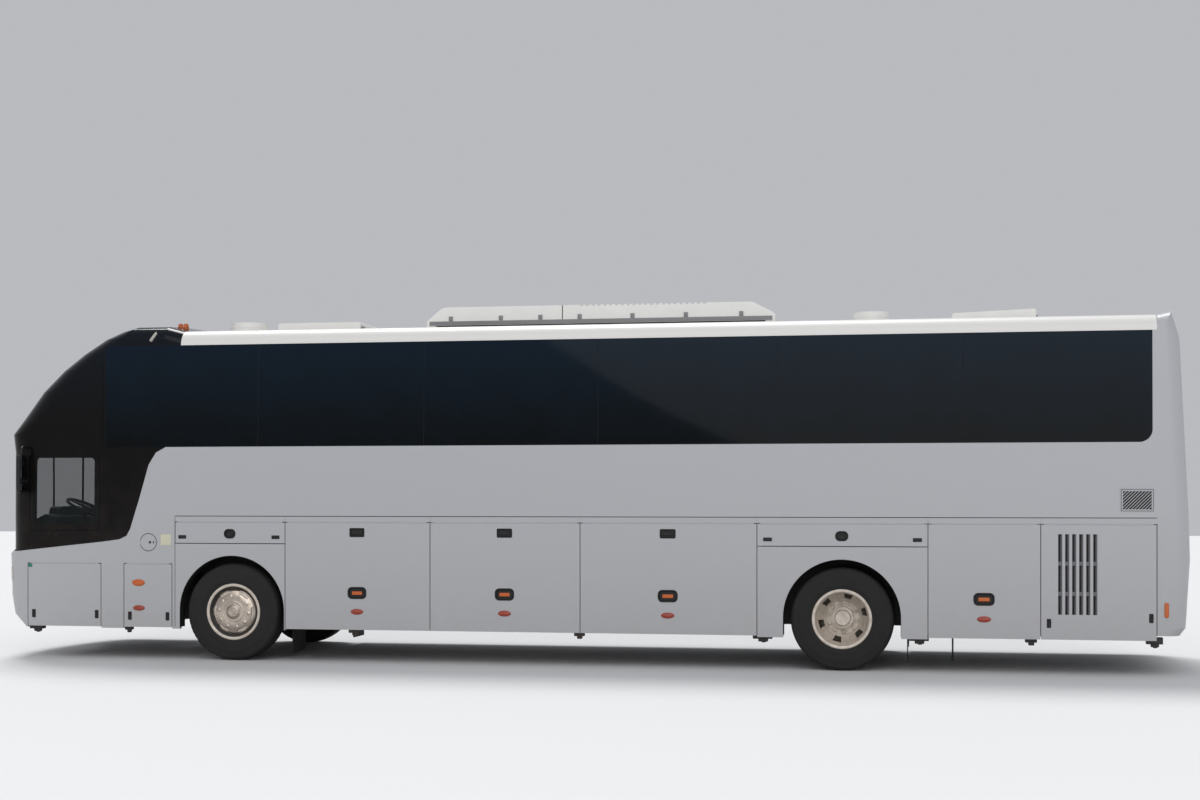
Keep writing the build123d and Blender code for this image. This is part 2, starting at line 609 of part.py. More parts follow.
# Passenger door at the right front
door_space = rect_prism(CAB_REAR_X + SEAM / 2, CAB_FRONT_X - SEAM / 2, FLAP_BOTTOM_Z, CAB_PANE[3] + 32.0,
                        HALF_WIDTH - 300.0, FAR)
door = skin(door_space, FLAP_BACK) - [recess(cab_pane_space), cab_hole]
save(to_right(door), "entrance_door")

left_glass = [solid for pane in band_panes for solid in pane.solids()]
right_glass = [solid for pane in left_glass for solid in to_right(pane).solids()]
save(Compound(children=left_glass + right_glass), "side_windows")
save(Compound(children=cab_pane.solids() + to_right(cab_pane).solids()), "cab_windows")

# Passenger deck and cab floor, with the steps up from the door
DECK_FRONT_X = 4040.0
DECK_REAR_X = REAR_JOINT_X - 150.0
LINING = envelope(WALL + BOND)
bay_y = inner_y - BOND
deck = LINING & box(DECK_REAR_X, DECK_FRONT_X, -bay_y, bay_y, DECK_TOP - DECK_THICK, DECK_TOP)
save(deck, "passenger_deck")
CAB_FLOOR_FRONT_X = 5780.0
STAIR_Y = -330.0
FLOOR_PLATE = 40.0
floor_under = CAB_FLOOR_TOP - FLOOR_PLATE
cab_floor = box(DECK_FRONT_X, CAB_FLOOR_FRONT_X, STAIR_Y, bay_y, floor_under, CAB_FLOOR_TOP)
riser = box(DECK_FRONT_X, DECK_FRONT_X + FLOOR_PLATE, -bay_y, bay_y, floor_under, DECK_TOP)
STEP_COUNT = 3
STEP_Z = 400.0
stair_rise = (CAB_FLOOR_TOP - STEP_Z) / STEP_COUNT
STEP_TREAD = 260.0
HAND_RAIL_TOP = 1850.0
HAND_RAIL_R = 16.0
steps = []
for index in range(STEP_COUNT):
    z = STEP_Z + stair_rise * index
    steps.append(box(CAB_REAR_X, CAB_FRONT_X, STEP_TREAD * index - bay_y, STAIR_Y, z - FLOOR_PLATE, z))
stair_side = box(CAB_REAR_X, CAB_FRONT_X, STAIR_Y - 20.0, STAIR_Y, STEP_Z - FLOOR_PLATE, CAB_FLOOR_TOP)
landing = box(DECK_FRONT_X, CAB_REAR_X, -bay_y, STAIR_Y, floor_under, CAB_FLOOR_TOP)
rail_y = STAIR_Y - 10.0
rail_foot = CAB_FLOOR_TOP - 20.0
rail_ends_x = (CAB_REAR_X + 60.0, CAB_FRONT_X - 240.0)
rail_path = Polyline((rail_ends_x[0], rail_y, rail_foot), (rail_ends_x[0], rail_y, HAND_RAIL_TOP),
                     (rail_ends_x[1], rail_y, HAND_RAIL_TOP), (rail_ends_x[1], rail_y, rail_foot))
rail_section = Plane((rail_ends_x[0], rail_y, rail_foot)) * RegularPolygon(HAND_RAIL_R, 8)
hand_rail = sweep(rail_section, path=rail_path, transition=Transition.RIGHT)
save(LINING & (cab_floor + riser + steps + [stair_side, landing, hand_rail]), "cab_floor")

# Frame rails over the axles
RAIL_Y = HALF_WIDTH - 845.0
RAIL_HALF = 35.0
RAIL_LOW = 800.0
RAIL_HIGH = 900.0
rails = []
for x_low, x_high in ((BAY_1_X - POST, CAB_REAR_X), (DECK_REAR_X, REAR_WHEEL_PANEL_X + POST)):
    for y in (RAIL_Y, -RAIL_Y):
        rails.append(box(x_low, x_high, y - RAIL_HALF, y + RAIL_HALF, RAIL_LOW, RAIL_HIGH))
save(Compound(children=[solid for rail in rails for solid in rail.solids()]), "frame_rails")

# Luggage bay: floor on cross members between two bulkheads, and the lockers beside the engine
deck_under = DECK_TOP - DECK_THICK - BOND
floor_low = BAY_FLOOR_TOP - BAY_FLOOR_THICK
BULKHEAD = 40.0
CROSS_DEPTH = 60.0
CROSS_COUNT = 5
bay_front = BAY_1_X - POST
bay_rear = REAR_WHEEL_PANEL_X + POST
bay = box(bay_rear, bay_front, -bay_y, bay_y, floor_low, BAY_FLOOR_TOP)
bay = bay + box(bay_front - BULKHEAD, bay_front, -bay_y, bay_y, BAY_FLOOR_TOP, deck_under)
bay = bay + box(bay_rear, bay_rear + BULKHEAD, -bay_y, bay_y, BAY_FLOOR_TOP, deck_under)
cross_step = (bay_front - bay_rear - 400.0) / (CROSS_COUNT - 1)
for index in range(CROSS_COUNT):
    x = bay_rear + 200.0 + cross_step * index
    bay = bay + box(x - 30.0, x + 30.0, -bay_y, bay_y, floor_low - CROSS_DEPTH, floor_low)
save(bay, "luggage_bay")
LOCKER_INNER_Y = RAIL_Y + 70.0
locker_front = REAR_LOCKER_X - POST
locker_rear = ENGINE_DOOR_X + POST / 2
locker = box(locker_rear, locker_front, LOCKER_INNER_Y, bay_y, floor_low, BAY_FLOOR_TOP)
locker = locker + box(locker_rear, locker_front, LOCKER_INNER_Y, LOCKER_INNER_Y + 20.0, BAY_FLOOR_TOP, deck_under)
locker = locker + box(locker_front - 20.0, locker_front, LOCKER_INNER_Y, bay_y, BAY_FLOOR_TOP, deck_under)
locker = locker + box(locker_rear, locker_rear + 20.0, LOCKER_INNER_Y, bay_y, BAY_FLOOR_TOP, deck_under)
save(Compound(children=locker.solids() + to_right(locker).solids()), "rear_lockers")

# Wheel housings: open at the bottom and towards the wheel, notched for the axle and the tie rod
NOTCH_TOP = 660.0
houses = []
for axle_x, house_y in ((FRONT_AXLE_X, bay_y), (REAR_AXLE_X, post_y - BOND)):
    outer = box(axle_x - HOUSE_HALF - PLATE, axle_x + HOUSE_HALF + PLATE, HOUSE_INNER_Y - PLATE, house_y,
                SKIRT_Z + 80.0, HOUSE_TOP + PLATE)
    inner = box(axle_x - HOUSE_HALF, axle_x + HOUSE_HALF, HOUSE_INNER_Y, house_y + 10.0, 0.0, HOUSE_TOP)
    notch = box(axle_x - STEER_ARM - 110.0, axle_x + 160.0, 0.0, HOUSE_INNER_Y + 10.0, 0.0, NOTCH_TOP)
    houses.append(outer - inner - notch)
houses = houses + [to_right(house) for house in houses]
save(Compound(children=[solid for house in houses for solid in house.solids()]), "wheel_housings")

# Mud flaps hang from the rear plates of the housings
FLAP_LOW = 85.0
mud_flaps = []
for axle_x, y_low in ((FRONT_AXLE_X, HALF_WIDTH - 475.0), (REAR_AXLE_X, HALF_WIDTH - 635.0)):
    x = axle_x - HOUSE_HALF - PLATE - BOND
    mud_flaps.append(box(x - 8.0, x, y_low, bay_y, FLAP_LOW, SKIRT_Z + 130.0))
mud_flaps = mud_flaps + [to_right(piece) for piece in mud_flaps]
save(Compound(children=[solid for piece in mud_flaps for solid in piece.solids()]), "mud_flaps")

# Wheels, drawn as half sections: distance outward from the tyre's middle, then radius
WHEEL_Y = HALF_WIDTH - WHEEL_INSET - TYRE_WIDTH / 2
BEAD_HALF = 118.0
HUB_R = 95.0


def spun(axle_x, middle_y, face):
    """Half section turned about the axle of the wheel at axle_x."""
    plane = Plane(origin=(axle_x, middle_y, TYRE_R), x_dir=(0, 1, 0), z_dir=(1, 0, 0))
    return revolve(plane * face, Axis((axle_x, 0, TYRE_R), (0, 1, 0)), 360)


def tyre_section():
    """Tyre in flats: bead, bulge, shoulder and crown."""
    outer = ((BEAD_HALF, RIM_R + BOND), (TYRE_WIDTH / 2, 372.0), (TYRE_WIDTH / 2 - 12.0, TYRE_R - 24.0),
             (TYRE_WIDTH / 2 - 38.0, TYRE_R))
    inner = tuple((-along, r) for along, r in reversed(outer))
    return make_face(Polyline(*outer, *inner, close=True))


def front_rim_section():
    bore = SPINDLE_R + RUNNING
    return make_face(Polyline(
        (-60.0, bore), (-60.0, HUB_R), (98.0, HUB_R), (98.0, 145.0), (84.0, 205.0), (46.0, BARREL_R),
        (-BEAD_HALF, BARREL_R), (-BEAD_HALF, RIM_R), (BEAD_HALF, RIM_R), (BEAD_HALF, BARREL_R), (64.0, BARREL_R),
        (98.0, 213.0), (112.0, 145.0), (112.0, 75.0), (130.0, 50.0), (138.0, 25.0), (138.0, 0.0), (108.0, 0.0),
        (108.0, bore),
        close=True))


def rear_rim_section():
    mate = -TWIN_SPACING / 2
    return make_face(Polyline(
        (mate, HUB_R), (mate, 165.0), (mate + 23.0, 200.0), (mate + 93.0, 243.0), (mate + 173.0, BARREL_R),
        (-BEAD_HALF, BARREL_R), (-BEAD_HALF, RIM_R), (BEAD_HALF, RIM_R), (BEAD_HALF, BARREL_R),
        (mate + 189.0, BARREL_R), (mate + 103.0, 232.0), (mate + 35.0, 190.0), (mate + 14.0, 160.0),
        (mate + 14.0, HUB_R), close=True))


def rear_hub_section():
    bore = SPINDLE_R + 5.0 + RUNNING
    ends = (-400.0, -40.0)
    return make_face(Polyline(
        (ends[0], bore), (ends[0], HUB_R + 10.0), (ends[1] - 50.0, HUB_R + 10.0), (ends[1] - 50.0, 80.0),
        (ends[1], 70.0), (ends[1], 0.0), (ends[1] - 20.0, 0.0), (ends[1] - 20.0, bore), close=True))


HOLE_COUNT = 6


def hand_holes(axle_x, y_low, y_high, inner_r, outer_r, inner_half, outer_half, first):
    """Trapezoid openings through a disc."""
    cuts = []
    for index in range(HOLE_COUNT):
        angle = first + index * 360.0 / HOLE_COUNT
        corners = ((-inner_half, inner_r), (inner_half, inner_r), (outer_half, outer_r), (-outer_half, outer_r))
        plane = Plane.XZ.offset(-y_high)
        face = Pos(axle_x, TYRE_R) * Rot(0, 0, angle) * make_face(Polyline(*corners, close=True))
        cuts.append(extrude(plane * face, y_high - y_low))
    return cuts


front_tyre = spun(FRONT_AXLE_X, WHEEL_Y, tyre_section())
front_rim = spun(FRONT_AXLE_X, WHEEL_Y, front_rim_section())
front_rim = front_rim - hand_holes(FRONT_AXLE_X, WHEEL_Y + 20.0, WHEEL_Y + 160.0, 168.0, 200.0, 22.0, 28.0, 5.0)
outer_tyre = spun(REAR_AXLE_X, WHEEL_Y, tyre_section())
inner_tyre = spun(REAR_AXLE_X, WHEEL_Y - TWIN_SPACING, tyre_section())
mate_plane = Plane.XZ.offset(-(WHEEL_Y - TWIN_SPACING / 2))
outer_rim = spun(REAR_AXLE_X, WHEEL_Y, rear_rim_section())
inner_rim = mirror(outer_rim, about=mate_plane)
outer_rim = outer_rim - hand_holes(REAR_AXLE_X, WHEEL_Y - 160.0, WHEEL_Y + 100.0, 188.0, 238.0, 30.0, 44.0, 14.0)
rear_hub = spun(REAR_AXLE_X, WHEEL_Y, rear_hub_section())
rear_rims = outer_rim + inner_rim + rear_hub
rear_tyres = Compound(children=outer_tyre.solids() + inner_tyre.solids())
for shape, node in ((front_tyre, "front_tyre"), (front_rim, "front_rim"), (rear_tyres, "rear_tyres"),
                    (rear_rims, "rear_rims")):
    save(shape, f"{node}_left")
    save(to_right(shape), f"{node}_right")

# Front axle: beam with an eye at each end; knuckles turn on kingpins; one tie rod joins their arms
EYE_R = 45.0
EYE_HALF = 50.0
EAR_GAP = 10.0
EAR_THICK = 40.0
EAR_TOP = EYE_HALF + EAR_GAP + EAR_THICK
ARM_HALF = 20.0
ARM_THICK = 25.0
BALL_R = 12.0
ROD_R = 18.0
ROD_DROP = 7.0                  # clearance between the rod and the arms above it


def upright(x, y, z_low, z_high, r):
    """Vertical round bar."""
    return Pos(x, y, (z_low + z_high) / 2) * Cylinder(r, z_high - z_low)


def crossbar(x, z, y_low, y_high, r):
    """Round bar along Y."""
    return Pos(x, (y_low + y_high) / 2, z) * Rot(90, 0, 0) * Cylinder(r, y_high - y_low)


web_y = KINGPIN_Y + EYE_R + 15.0
web_thick = 30.0
arm_x = FRONT_AXLE_X - STEER_ARM
knuckle = upright(FRONT_AXLE_X, KINGPIN_Y, TYRE_R - EAR_TOP, TYRE_R + EAR_TOP, KINGPIN_R)
for z_low in (TYRE_R - EAR_TOP, TYRE_R + EAR_TOP - EAR_THICK):
    knuckle = knuckle + upright(FRONT_AXLE_X, KINGPIN_Y, z_low, z_low + EAR_THICK, EYE_R)
    knuckle = knuckle + box(FRONT_AXLE_X - EYE_R, FRONT_AXLE_X + EYE_R, KINGPIN_Y, web_y + web_thick,
                            z_low, z_low + EAR_THICK)
knuckle = knuckle + box(FRONT_AXLE_X - EYE_R, FRONT_AXLE_X + EYE_R, web_y, web_y + web_thick,
                        TYRE_R - EAR_TOP, TYRE_R + EAR_TOP)
knuckle = knuckle + crossbar(FRONT_AXLE_X, TYRE_R, web_y + web_thick - 5.0, WHEEL_Y - 60.0 - 5.0, 70.0)
knuckle = knuckle + crossbar(FRONT_AXLE_X, TYRE_R, web_y + web_thick, WHEEL_Y + 100.0, SPINDLE_R)
arm_low = TYRE_R - EAR_TOP
knuckle = knuckle + box(arm_x, FRONT_AXLE_X, KINGPIN_Y - ARM_HALF, KINGPIN_Y + ARM_HALF, arm_low, arm_low + ARM_THICK)
knuckle = knuckle + upright(arm_x, KINGPIN_Y, arm_low, arm_low + ARM_THICK, ARM_HALF)
left_knuckle = knuckle - upright(arm_x, KINGPIN_Y, arm_low - 5.0, arm_low + ARM_THICK + 5.0, BALL_R + RUNNING)
OPEN_PIVOT = 1.0                # clearance at the rod's right-hand pin, where the linkage is opened
right_knuckle = knuckle - upright(arm_x, KINGPIN_Y, arm_low - 5.0, arm_low + ARM_THICK + 5.0, BALL_R + OPEN_PIVOT)
save(left_knuckle, "front_knuckle_left")
save(to_right(right_knuckle), "front_knuckle_right")
rod_z = arm_low - ROD_DROP - ROD_R
tie_rod = crossbar(arm_x, rod_z, -KINGPIN_Y - ROD_R, KINGPIN_Y + ROD_R, ROD_R)
for side_sign in (1, -1):
    tie_rod = tie_rod + upright(arm_x, side_sign * KINGPIN_Y, rod_z, arm_low + ARM_THICK, BALL_R)
save(tie_rod, "tie_rod")

BEAM_HALF = 42.0
SPRING_R = 110.0
beam = box(FRONT_AXLE_X - BEAM_HALF, FRONT_AXLE_X + BEAM_HALF, -KINGPIN_Y, KINGPIN_Y, TYRE_R - EYE_HALF + 5.0,
           TYRE_R + EYE_HALF - 5.0)
for side_sign in (1, -1):
    y = side_sign * KINGPIN_Y
    beam = beam + upright(FRONT_AXLE_X, y, TYRE_R - EYE_HALF, TYRE_R + EYE_HALF, EYE_R)
    beam = beam - upright(FRONT_AXLE_X, y, TYRE_R - EAR_TOP, TYRE_R + EAR_TOP, KINGPIN_R + RUNNING)
    beam = beam + upright(FRONT_AXLE_X, side_sign * RAIL_Y, TYRE_R, RAIL_LOW - BOND, SPRING_R)
save(beam, "front_axle")

# Rear axle: differential housing, tubes, spindles, and beams that carry four air springs
DIFF_R = 210.0
DIFF_HALF = 200.0
TUBE_R = 70.0
diff_section = make_face(Polyline((-DIFF_HALF, 0.0), (-DIFF_HALF, TUBE_R + 20.0), (-70.0, DIFF_R), (70.0, DIFF_R),
                                  (DIFF_HALF, TUBE_R + 20.0), (DIFF_HALF, 0.0), close=True))
rear_axle = spun(REAR_AXLE_X, 0.0, diff_section)
tube_end = WHEEL_Y - 400.0 - 16.0
rear_axle = rear_axle + crossbar(REAR_AXLE_X, TYRE_R, -tube_end, tube_end, TUBE_R)
rear_axle = rear_axle + crossbar(REAR_AXLE_X, TYRE_R, -(WHEEL_Y - 80.0), WHEEL_Y - 80.0, SPINDLE_R + 5.0)
SPRING_X = 380.0
for side_sign in (1, -1):
    y = side_sign * RAIL_Y
    rear_axle = rear_axle + box(REAR_AXLE_X - SPRING_X - 90.0, REAR_AXLE_X + SPRING_X + 90.0, y - 45.0, y + 45.0,
                                TYRE_R - 60.0, TYRE_R + 60.0)
    for spring_x in (REAR_AXLE_X - SPRING_X, REAR_AXLE_X + SPRING_X):
        rear_axle = rear_axle + upright(spring_x, y, TYRE_R, RAIL_LOW - BOND, SPRING_R)
save(rear_axle, "rear_axle")

# Engine: one block between the rails
ENGINE_HALF = RAIL_Y - RAIL_HALF - BOND
save(box(-5600.0, -4350.0, -ENGINE_HALF, ENGINE_HALF, 470.0, 1290.0), "engine")

# Seats: one side outline for every seat, cushion and back in one
SEAT_PITCH = 760.0
SEAT_ROWS = 12
SEAT_FIRST_X = 3480.0
SEAT_LOW_Y = 290.0
SEAT_HIGH_Y = HALF_WIDTH - 125.0
SEAT_OUTLINE = ((-60.0, 0.0), (120.0, 0.0), (160.0, 330.0), (420.0, 330.0), (440.0, 460.0), (20.0, 440.0),
                (-170.0, 1130.0), (-290.0, 1110.0), (-110.0, 400.0), (-90.0, 330.0))


def seat(x, y_low, y_high, floor):
    points = [(x + dx, floor + BOND + dz) for dx, dz in SEAT_OUTLINE]
    return side_prism(points, y_low, y_high)


seats = []
for row in range(SEAT_ROWS):
    x = SEAT_FIRST_X - SEAT_PITCH * row
    seats.append(seat(x, SEAT_LOW_Y, SEAT_HIGH_Y, DECK_TOP))
    seats.append(seat(x, -SEAT_HIGH_Y, -SEAT_LOW_Y, DECK_TOP))
DRIVER_X = 4800.0
DRIVER_Y = HALF_WIDTH - 655.0
seats.append(seat(DRIVER_X, DRIVER_Y - 240.0, DRIVER_Y + 240.0, CAB_FLOOR_TOP))
save(Compound(children=[solid for piece in seats for solid in piece.solids()]), "seats")

# Dashboard and steering wheel
DASH_OUTLINE = ((5420.0, CAB_FLOOR_TOP + BOND), (5780.0, CAB_FLOOR_TOP + BOND), (5900.0, 1230.0), (5900.0, 1330.0),
                (5560.0, 1500.0), (5440.0, 1470.0), (5400.0, 1330.0))
dashboard = LINING & side_prism(DASH_OUTLINE, STAIR_Y + 80.0, HALF_WIDTH - 155.0)
save(dashboard, "dashboard")
WHEEL_TILT = 25.0
HAND_WHEEL = (5330.0, DRIVER_Y, 1560.0)
HAND_WHEEL_R = 225.0
GRIP_R = 17.0
grip = revolve(Plane.XZ * (Pos(HAND_WHEEL_R, 0) * RegularPolygon(GRIP_R, 6)), Axis.Z, 360)
spokes = Cylinder(60.0, 30.0) + Box(2 * HAND_WHEEL_R, 50.0, 16.0)
column_length = 250.0
column = Pos(0, 0, -column_length / 2) * Cylinder(30.0, column_length)
hand_wheel = Pos(*HAND_WHEEL) * Rot(0, -WHEEL_TILT, 0) * (grip + spokes + column)
save(hand_wheel - dashboard, "steering_wheel")

# Roof equipment: the air conditioner, two hatches and two round vents
AIRCON_FRONT_X = 1490.0
AIRCON_REAR_X = -2110.0
AIRCON_HALF = 760.0
AIRCON_TOP = ROOF_TOP + 188.0
aircon_low = ROOF_TOP - 60.0
AIRCON_OUTLINE = ((AIRCON_REAR_X, aircon_low), (AIRCON_FRONT_X, aircon_low), (AIRCON_FRONT_X, AIRCON_TOP - 140.0),
                  (AIRCON_FRONT_X - 170.0, AIRCON_TOP), (AIRCON_REAR_X + 230.0, AIRCON_TOP),
                  (AIRCON_REAR_X, AIRCON_TOP - 120.0))
aircon = side_prism(AIRCON_OUTLINE, -AIRCON_HALF, AIRCON_HALF, [1.0, 1.0, 40.0, 120.0, 150.0, 40.0])
roof_face = envelope(-BOND)
aircon = aircon - roof_face
BAND_PROUD = 10.0
aircon_band = box(AIRCON_REAR_X + 30.0, AIRCON_FRONT_X - 30.0, -AIRCON_HALF - BAND_PROUD, AIRCON_HALF + BAND_PROUD,
                  AIRCON_TOP - 190.0, AIRCON_TOP - 145.0)
aircon = aircon + (aircon_band - roof_face)
LOUVRE_PITCH = 60.0
LOUVRE_COUNT = 22
LOUVRE_FRONT_X = -140.0
for index in range(LOUVRE_COUNT):
    x = LOUVRE_FRONT_X - LOUVRE_PITCH * index
    aircon = aircon - box(x - 14.0, x + 14.0, -AIRCON_HALF - 40.0, AIRCON_HALF + 40.0, AIRCON_TOP - 14.0, AIRCON_TOP + 40.0)
save(aircon, "air_conditioner")
# Round vents: place, radius, top; hatches: place, half length, height at the front and at the rear
VENTS = ((3722.0, 200.0, ROOF_TOP + 131.0), (-3040.0, 180.0, ROOF_TOP + 128.0))
HATCHES = ((2810.0, 460.0, ROOF_TOP + 99.0, ROOF_TOP + 99.0), (-4263.0, 411.0, ROOF_TOP + 78.0, ROOF_TOP + 111.0))
HATCH_HALF_Y = 330.0
roof_pieces = []
for x, r, top in VENTS:
    roof_pieces.append(upright(x, 0.0, ROOF_TOP - 40.0, top, r) - roof_face)
for x, half, front_top, rear_top in HATCHES:
    outline = ((x - half, ROOF_TOP - 40.0), (x + half, ROOF_TOP - 40.0), (x + half, front_top), (x - half, rear_top))
    roof_pieces.append(side_prism(outline, -HATCH_HALF_Y, HATCH_HALF_Y, [1.0, 1.0, 25.0, 25.0]) - roof_face)
save(Compound(children=[solid for piece in roof_pieces for solid in piece.solids()]), "roof_hatches")

# Mirrors on arms from the front corners
MIRROR_X = 5740.0
MIRROR_Y = HALF_WIDTH + 125.0
MIRROR_LOW = 1710.0
MIRROR_HIGH = 2130.0
head = box(MIRROR_X - 70.0, MIRROR_X + 60.0, MIRROR_Y - 110.0, MIRROR_Y + 110.0, MIRROR_LOW, MIRROR_HIGH)
head = fillet(head.edges().filter_by(Axis.Z), 45.0)
ARM_R = 16.0
arm_z = MIRROR_HIGH + 70.0
arm = crossbar(MIRROR_X, arm_z, MIRROR_Y - 200.0, MIRROR_Y, ARM_R)
arm = arm + upright(MIRROR_X, MIRROR_Y, MIRROR_HIGH - 10.0, arm_z + ARM_R, ARM_R)
mirror_left = (head + arm) - roof_face
mirror_left = max(mirror_left.solids(), key=lambda solid: solid.volume)
save(Compound(children=[mirror_left] + to_right(mirror_left).solids()), "mirrors")

# Wipers lie against the lower pane
wipers = []
wiper_face = envelope(-20.0)
for y_low, y_high in ((80.0, 980.0), (-820.0, 80.0 - 30.0)):
    wipers.append((box(5800.0, 6300.0, y_low, y_high, 1240.0, 1262.0) & wiper_face) - roof_face)
save(Compound(children=[solid for piece in wipers for solid in piece.solids()]), "wipers")
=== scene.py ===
"""Looks of the coach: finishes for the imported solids, and the detailed pieces that ride on them.

Metres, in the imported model's frame: +X forward, +Y to the coach's left, +Z up.
"""

import json
from math import cos, pi, radians, sin

import bmesh
import bpy
import numpy as np
from mathutils.bvhtree import BVHTree
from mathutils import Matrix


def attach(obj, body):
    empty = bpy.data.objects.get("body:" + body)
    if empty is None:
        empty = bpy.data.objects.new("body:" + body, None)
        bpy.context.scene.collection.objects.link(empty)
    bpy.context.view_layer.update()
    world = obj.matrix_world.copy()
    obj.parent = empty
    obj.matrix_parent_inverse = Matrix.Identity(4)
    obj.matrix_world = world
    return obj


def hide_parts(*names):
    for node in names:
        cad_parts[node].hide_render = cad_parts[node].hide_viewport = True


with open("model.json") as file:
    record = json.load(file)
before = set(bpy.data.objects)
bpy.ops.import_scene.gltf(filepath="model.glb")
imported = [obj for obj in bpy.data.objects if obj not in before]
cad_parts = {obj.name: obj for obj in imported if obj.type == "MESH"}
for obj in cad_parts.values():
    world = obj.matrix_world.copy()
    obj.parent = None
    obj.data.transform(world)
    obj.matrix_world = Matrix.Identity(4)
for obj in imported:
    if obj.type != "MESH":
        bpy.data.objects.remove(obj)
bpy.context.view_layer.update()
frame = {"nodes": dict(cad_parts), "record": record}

# The photograph's camera
CAMERA_AT = (-3.521, 18.446, 1.688)
CAMERA_TURN = 10.228            # degrees forward of square on
FOCAL_PIXELS = 1766.4
PICTURE_WIDTH = 1200
HORIZON_DROP = 96.26            # pixels from the picture's middle down to the horizon
SENSOR = 36.0

# The coach's main lines
HALF_WIDTH = 1.275
TOP_HALF_WIDTH = 1.240
WAIST_Z = 1.484
BAND_Z = 2.197
BAND_TOP_Z = 3.249
LEAN = (TOP_HALF_WIDTH - HALF_WIDTH) / (BAND_TOP_Z - WAIST_Z)
AXLE_Z = 0.500
FRONT_AXLE_X = 3.420
REAR_AXLE_X = -2.790
WHEEL_Y = 1.106
TWIN_SPACING = 0.330


# Materials

class Field:
    """A value that varies over a surface: a node's output, with the usual arithmetic."""

    def __init__(self, finish, socket):
        self.finish = finish
        self.socket = socket

    def math(self, operation, first, second):
        """Two values combined by one operation."""
        return self.finish.node("ShaderNodeMath", {"operation": operation}, {0: first, 1: second})

    def __add__(self, other):
        return self.math("ADD", self, other)

    def __mul__(self, other):
        return self.math("MULTIPLY", self, other)

    def __rsub__(self, other):
        return self.math("SUBTRACT", other, self)

    __radd__ = __add__
    __rmul__ = __mul__


class Finish:
    """One material: a Principled shader, the nodes that vary it, and its constants."""

    def __init__(self, name, color, roughness, **constants):
        self.material = bpy.data.materials.new(name)
        self.material.use_nodes = True
        self.tree = self.material.node_tree
        self.shader = self.tree.nodes["Principled BSDF"]
        self.coordinates = None
        self.shader.inputs["Base Color"].default_value = (*color, 1.0)
        self.shader.inputs["Roughness"].default_value = roughness
        for socket, value in constants.items():
            self.shader.inputs[socket.replace("_", " ")].default_value = value

    def node(self, kind, settings=None, inputs=None, output=0):
        """A node of one kind: its settings first, then its sockets' values or links."""
        made = self.tree.nodes.new(kind)
        for key, value in (settings or {}).items():
            setattr(made, key, value)
        for key, value in (inputs or {}).items():
            if isinstance(value, Field):
                self.tree.links.new(value.socket, made.inputs[key])
            else:
                made.inputs[key].default_value = value
        return Field(self, made.outputs[output])

    def place(self):
        """Object coordinates."""
        if self.coordinates is None:
            self.coordinates = self.node("ShaderNodeTexCoord", output=3)
        return self.coordinates

    def axis(self, letter):
        """One of the object coordinates as a number."""
        return self.node("ShaderNodeSeparateXYZ", inputs={0: self.place()}, output="XYZ".index(letter))

    def stretched(self, scale):
        """Object coordinates scaled along each axis."""
        return self.node("ShaderNodeMapping", inputs={"Vector": self.place(), "Scale": scale})

    def noise(self, scale, detail=4.0, roughness=0.55, where=None):
        """Cloudy noise between 0 and 1."""
        inputs = {"Vector": where or self.place(), "Scale": scale, "Detail": detail, "Roughness": roughness}
        return self.node("ShaderNodeTexNoise", inputs=inputs)

    def wave(self, direction, scale):
        """Bands across one axis."""
        return self.node("ShaderNodeTexWave", {"bands_direction": direction},
                         {"Vector": self.place(), "Scale": scale})

    def between(self, value, low, high, out_low=0.0, out_high=1.0):
        """A value mapped from one range to another and held inside it."""
        return self.node("ShaderNodeMapRange", {"clamp": True}, {
            "Value": value, "From Min": low, "From Max": high, "To Min": out_low, "To Max": out_high})

    def mix(self, factor, first, second):
        """Two colours mixed."""
        first, second = (color if isinstance(color, Field) else (*color, 1.0) for color in (first, second))
        return self.node("ShaderNodeMix", {"data_type": "RGBA"}, {0: factor, 6: first, 7: second}, 2)

    def feed(self, socket, value):
        """A varying value into one of the shader's sockets."""
        self.tree.links.new(value.socket, self.shader.inputs[socket])

    def tint(self, factor, first, second):
        """Base colour mixed from two."""
        self.feed("Base Color", self.mix(factor, first, second))

    def bump(self, height, strength, distance):
        """Relief without depth."""
        self.feed("Normal", self.node("ShaderNodeBump", inputs={
            "Height": height, "Strength": strength, "Distance": distance}))


def lacquer(name, color, sheen_color):
    """Gloss black front: deep and smooth, with a painted sheen that turns it faintly blue towards the top, and
    a thin film of dust that thickens low down.
    """
    finish = Finish(name, color, 0.12, Specular_IOR_Level=0.13)
    low = finish.between(finish.axis("Z"), 1.0, 2.6, 1.0, 0.35)
    film = finish.between(finish.noise(5.0, 6.0) * low, 0.25, 0.75)
    # painted sheen: the black is mixed towards a faint blue higher up
    high = finish.between(finish.axis("Z"), 2.4, 3.4)
    paint = finish.mix(high, color, sheen_color)
    finish.tint(film * 0.22, paint, (0.045, 0.033, 0.026))
    finish.feed("Roughness", 0.10 + 0.30 * film)
    return finish.material


def painted(name, color, dust):
    """Gloss paint over sheet metal: faint waves in the panels, dust low down and thin run-down streaks."""
    finish = Finish(name, color, 0.30, Coat_Weight=0.25, Coat_Roughness=0.25)
    grain = finish.noise(9.0, 6.0)
    streak = finish.noise(3.0, 5.0, where=finish.stretched((9.0, 9.0, 0.35)))
    low = finish.between(finish.axis("Z"), 0.2, 1.6, 1.0, 0.12)
    film = finish.between(low * grain + 0.35 * streak * low, 0.0, 0.95, 0.0, 0.85)
    finish.tint(film * dust, color, (0.36, 0.33, 0.29))
    finish.feed("Roughness", 0.36 + 0.25 * film)
    finish.bump(finish.noise(1.7, 2.0, where=finish.stretched((1.0, 1.0, 1.6))), 0.04, 0.02)
    return finish.material


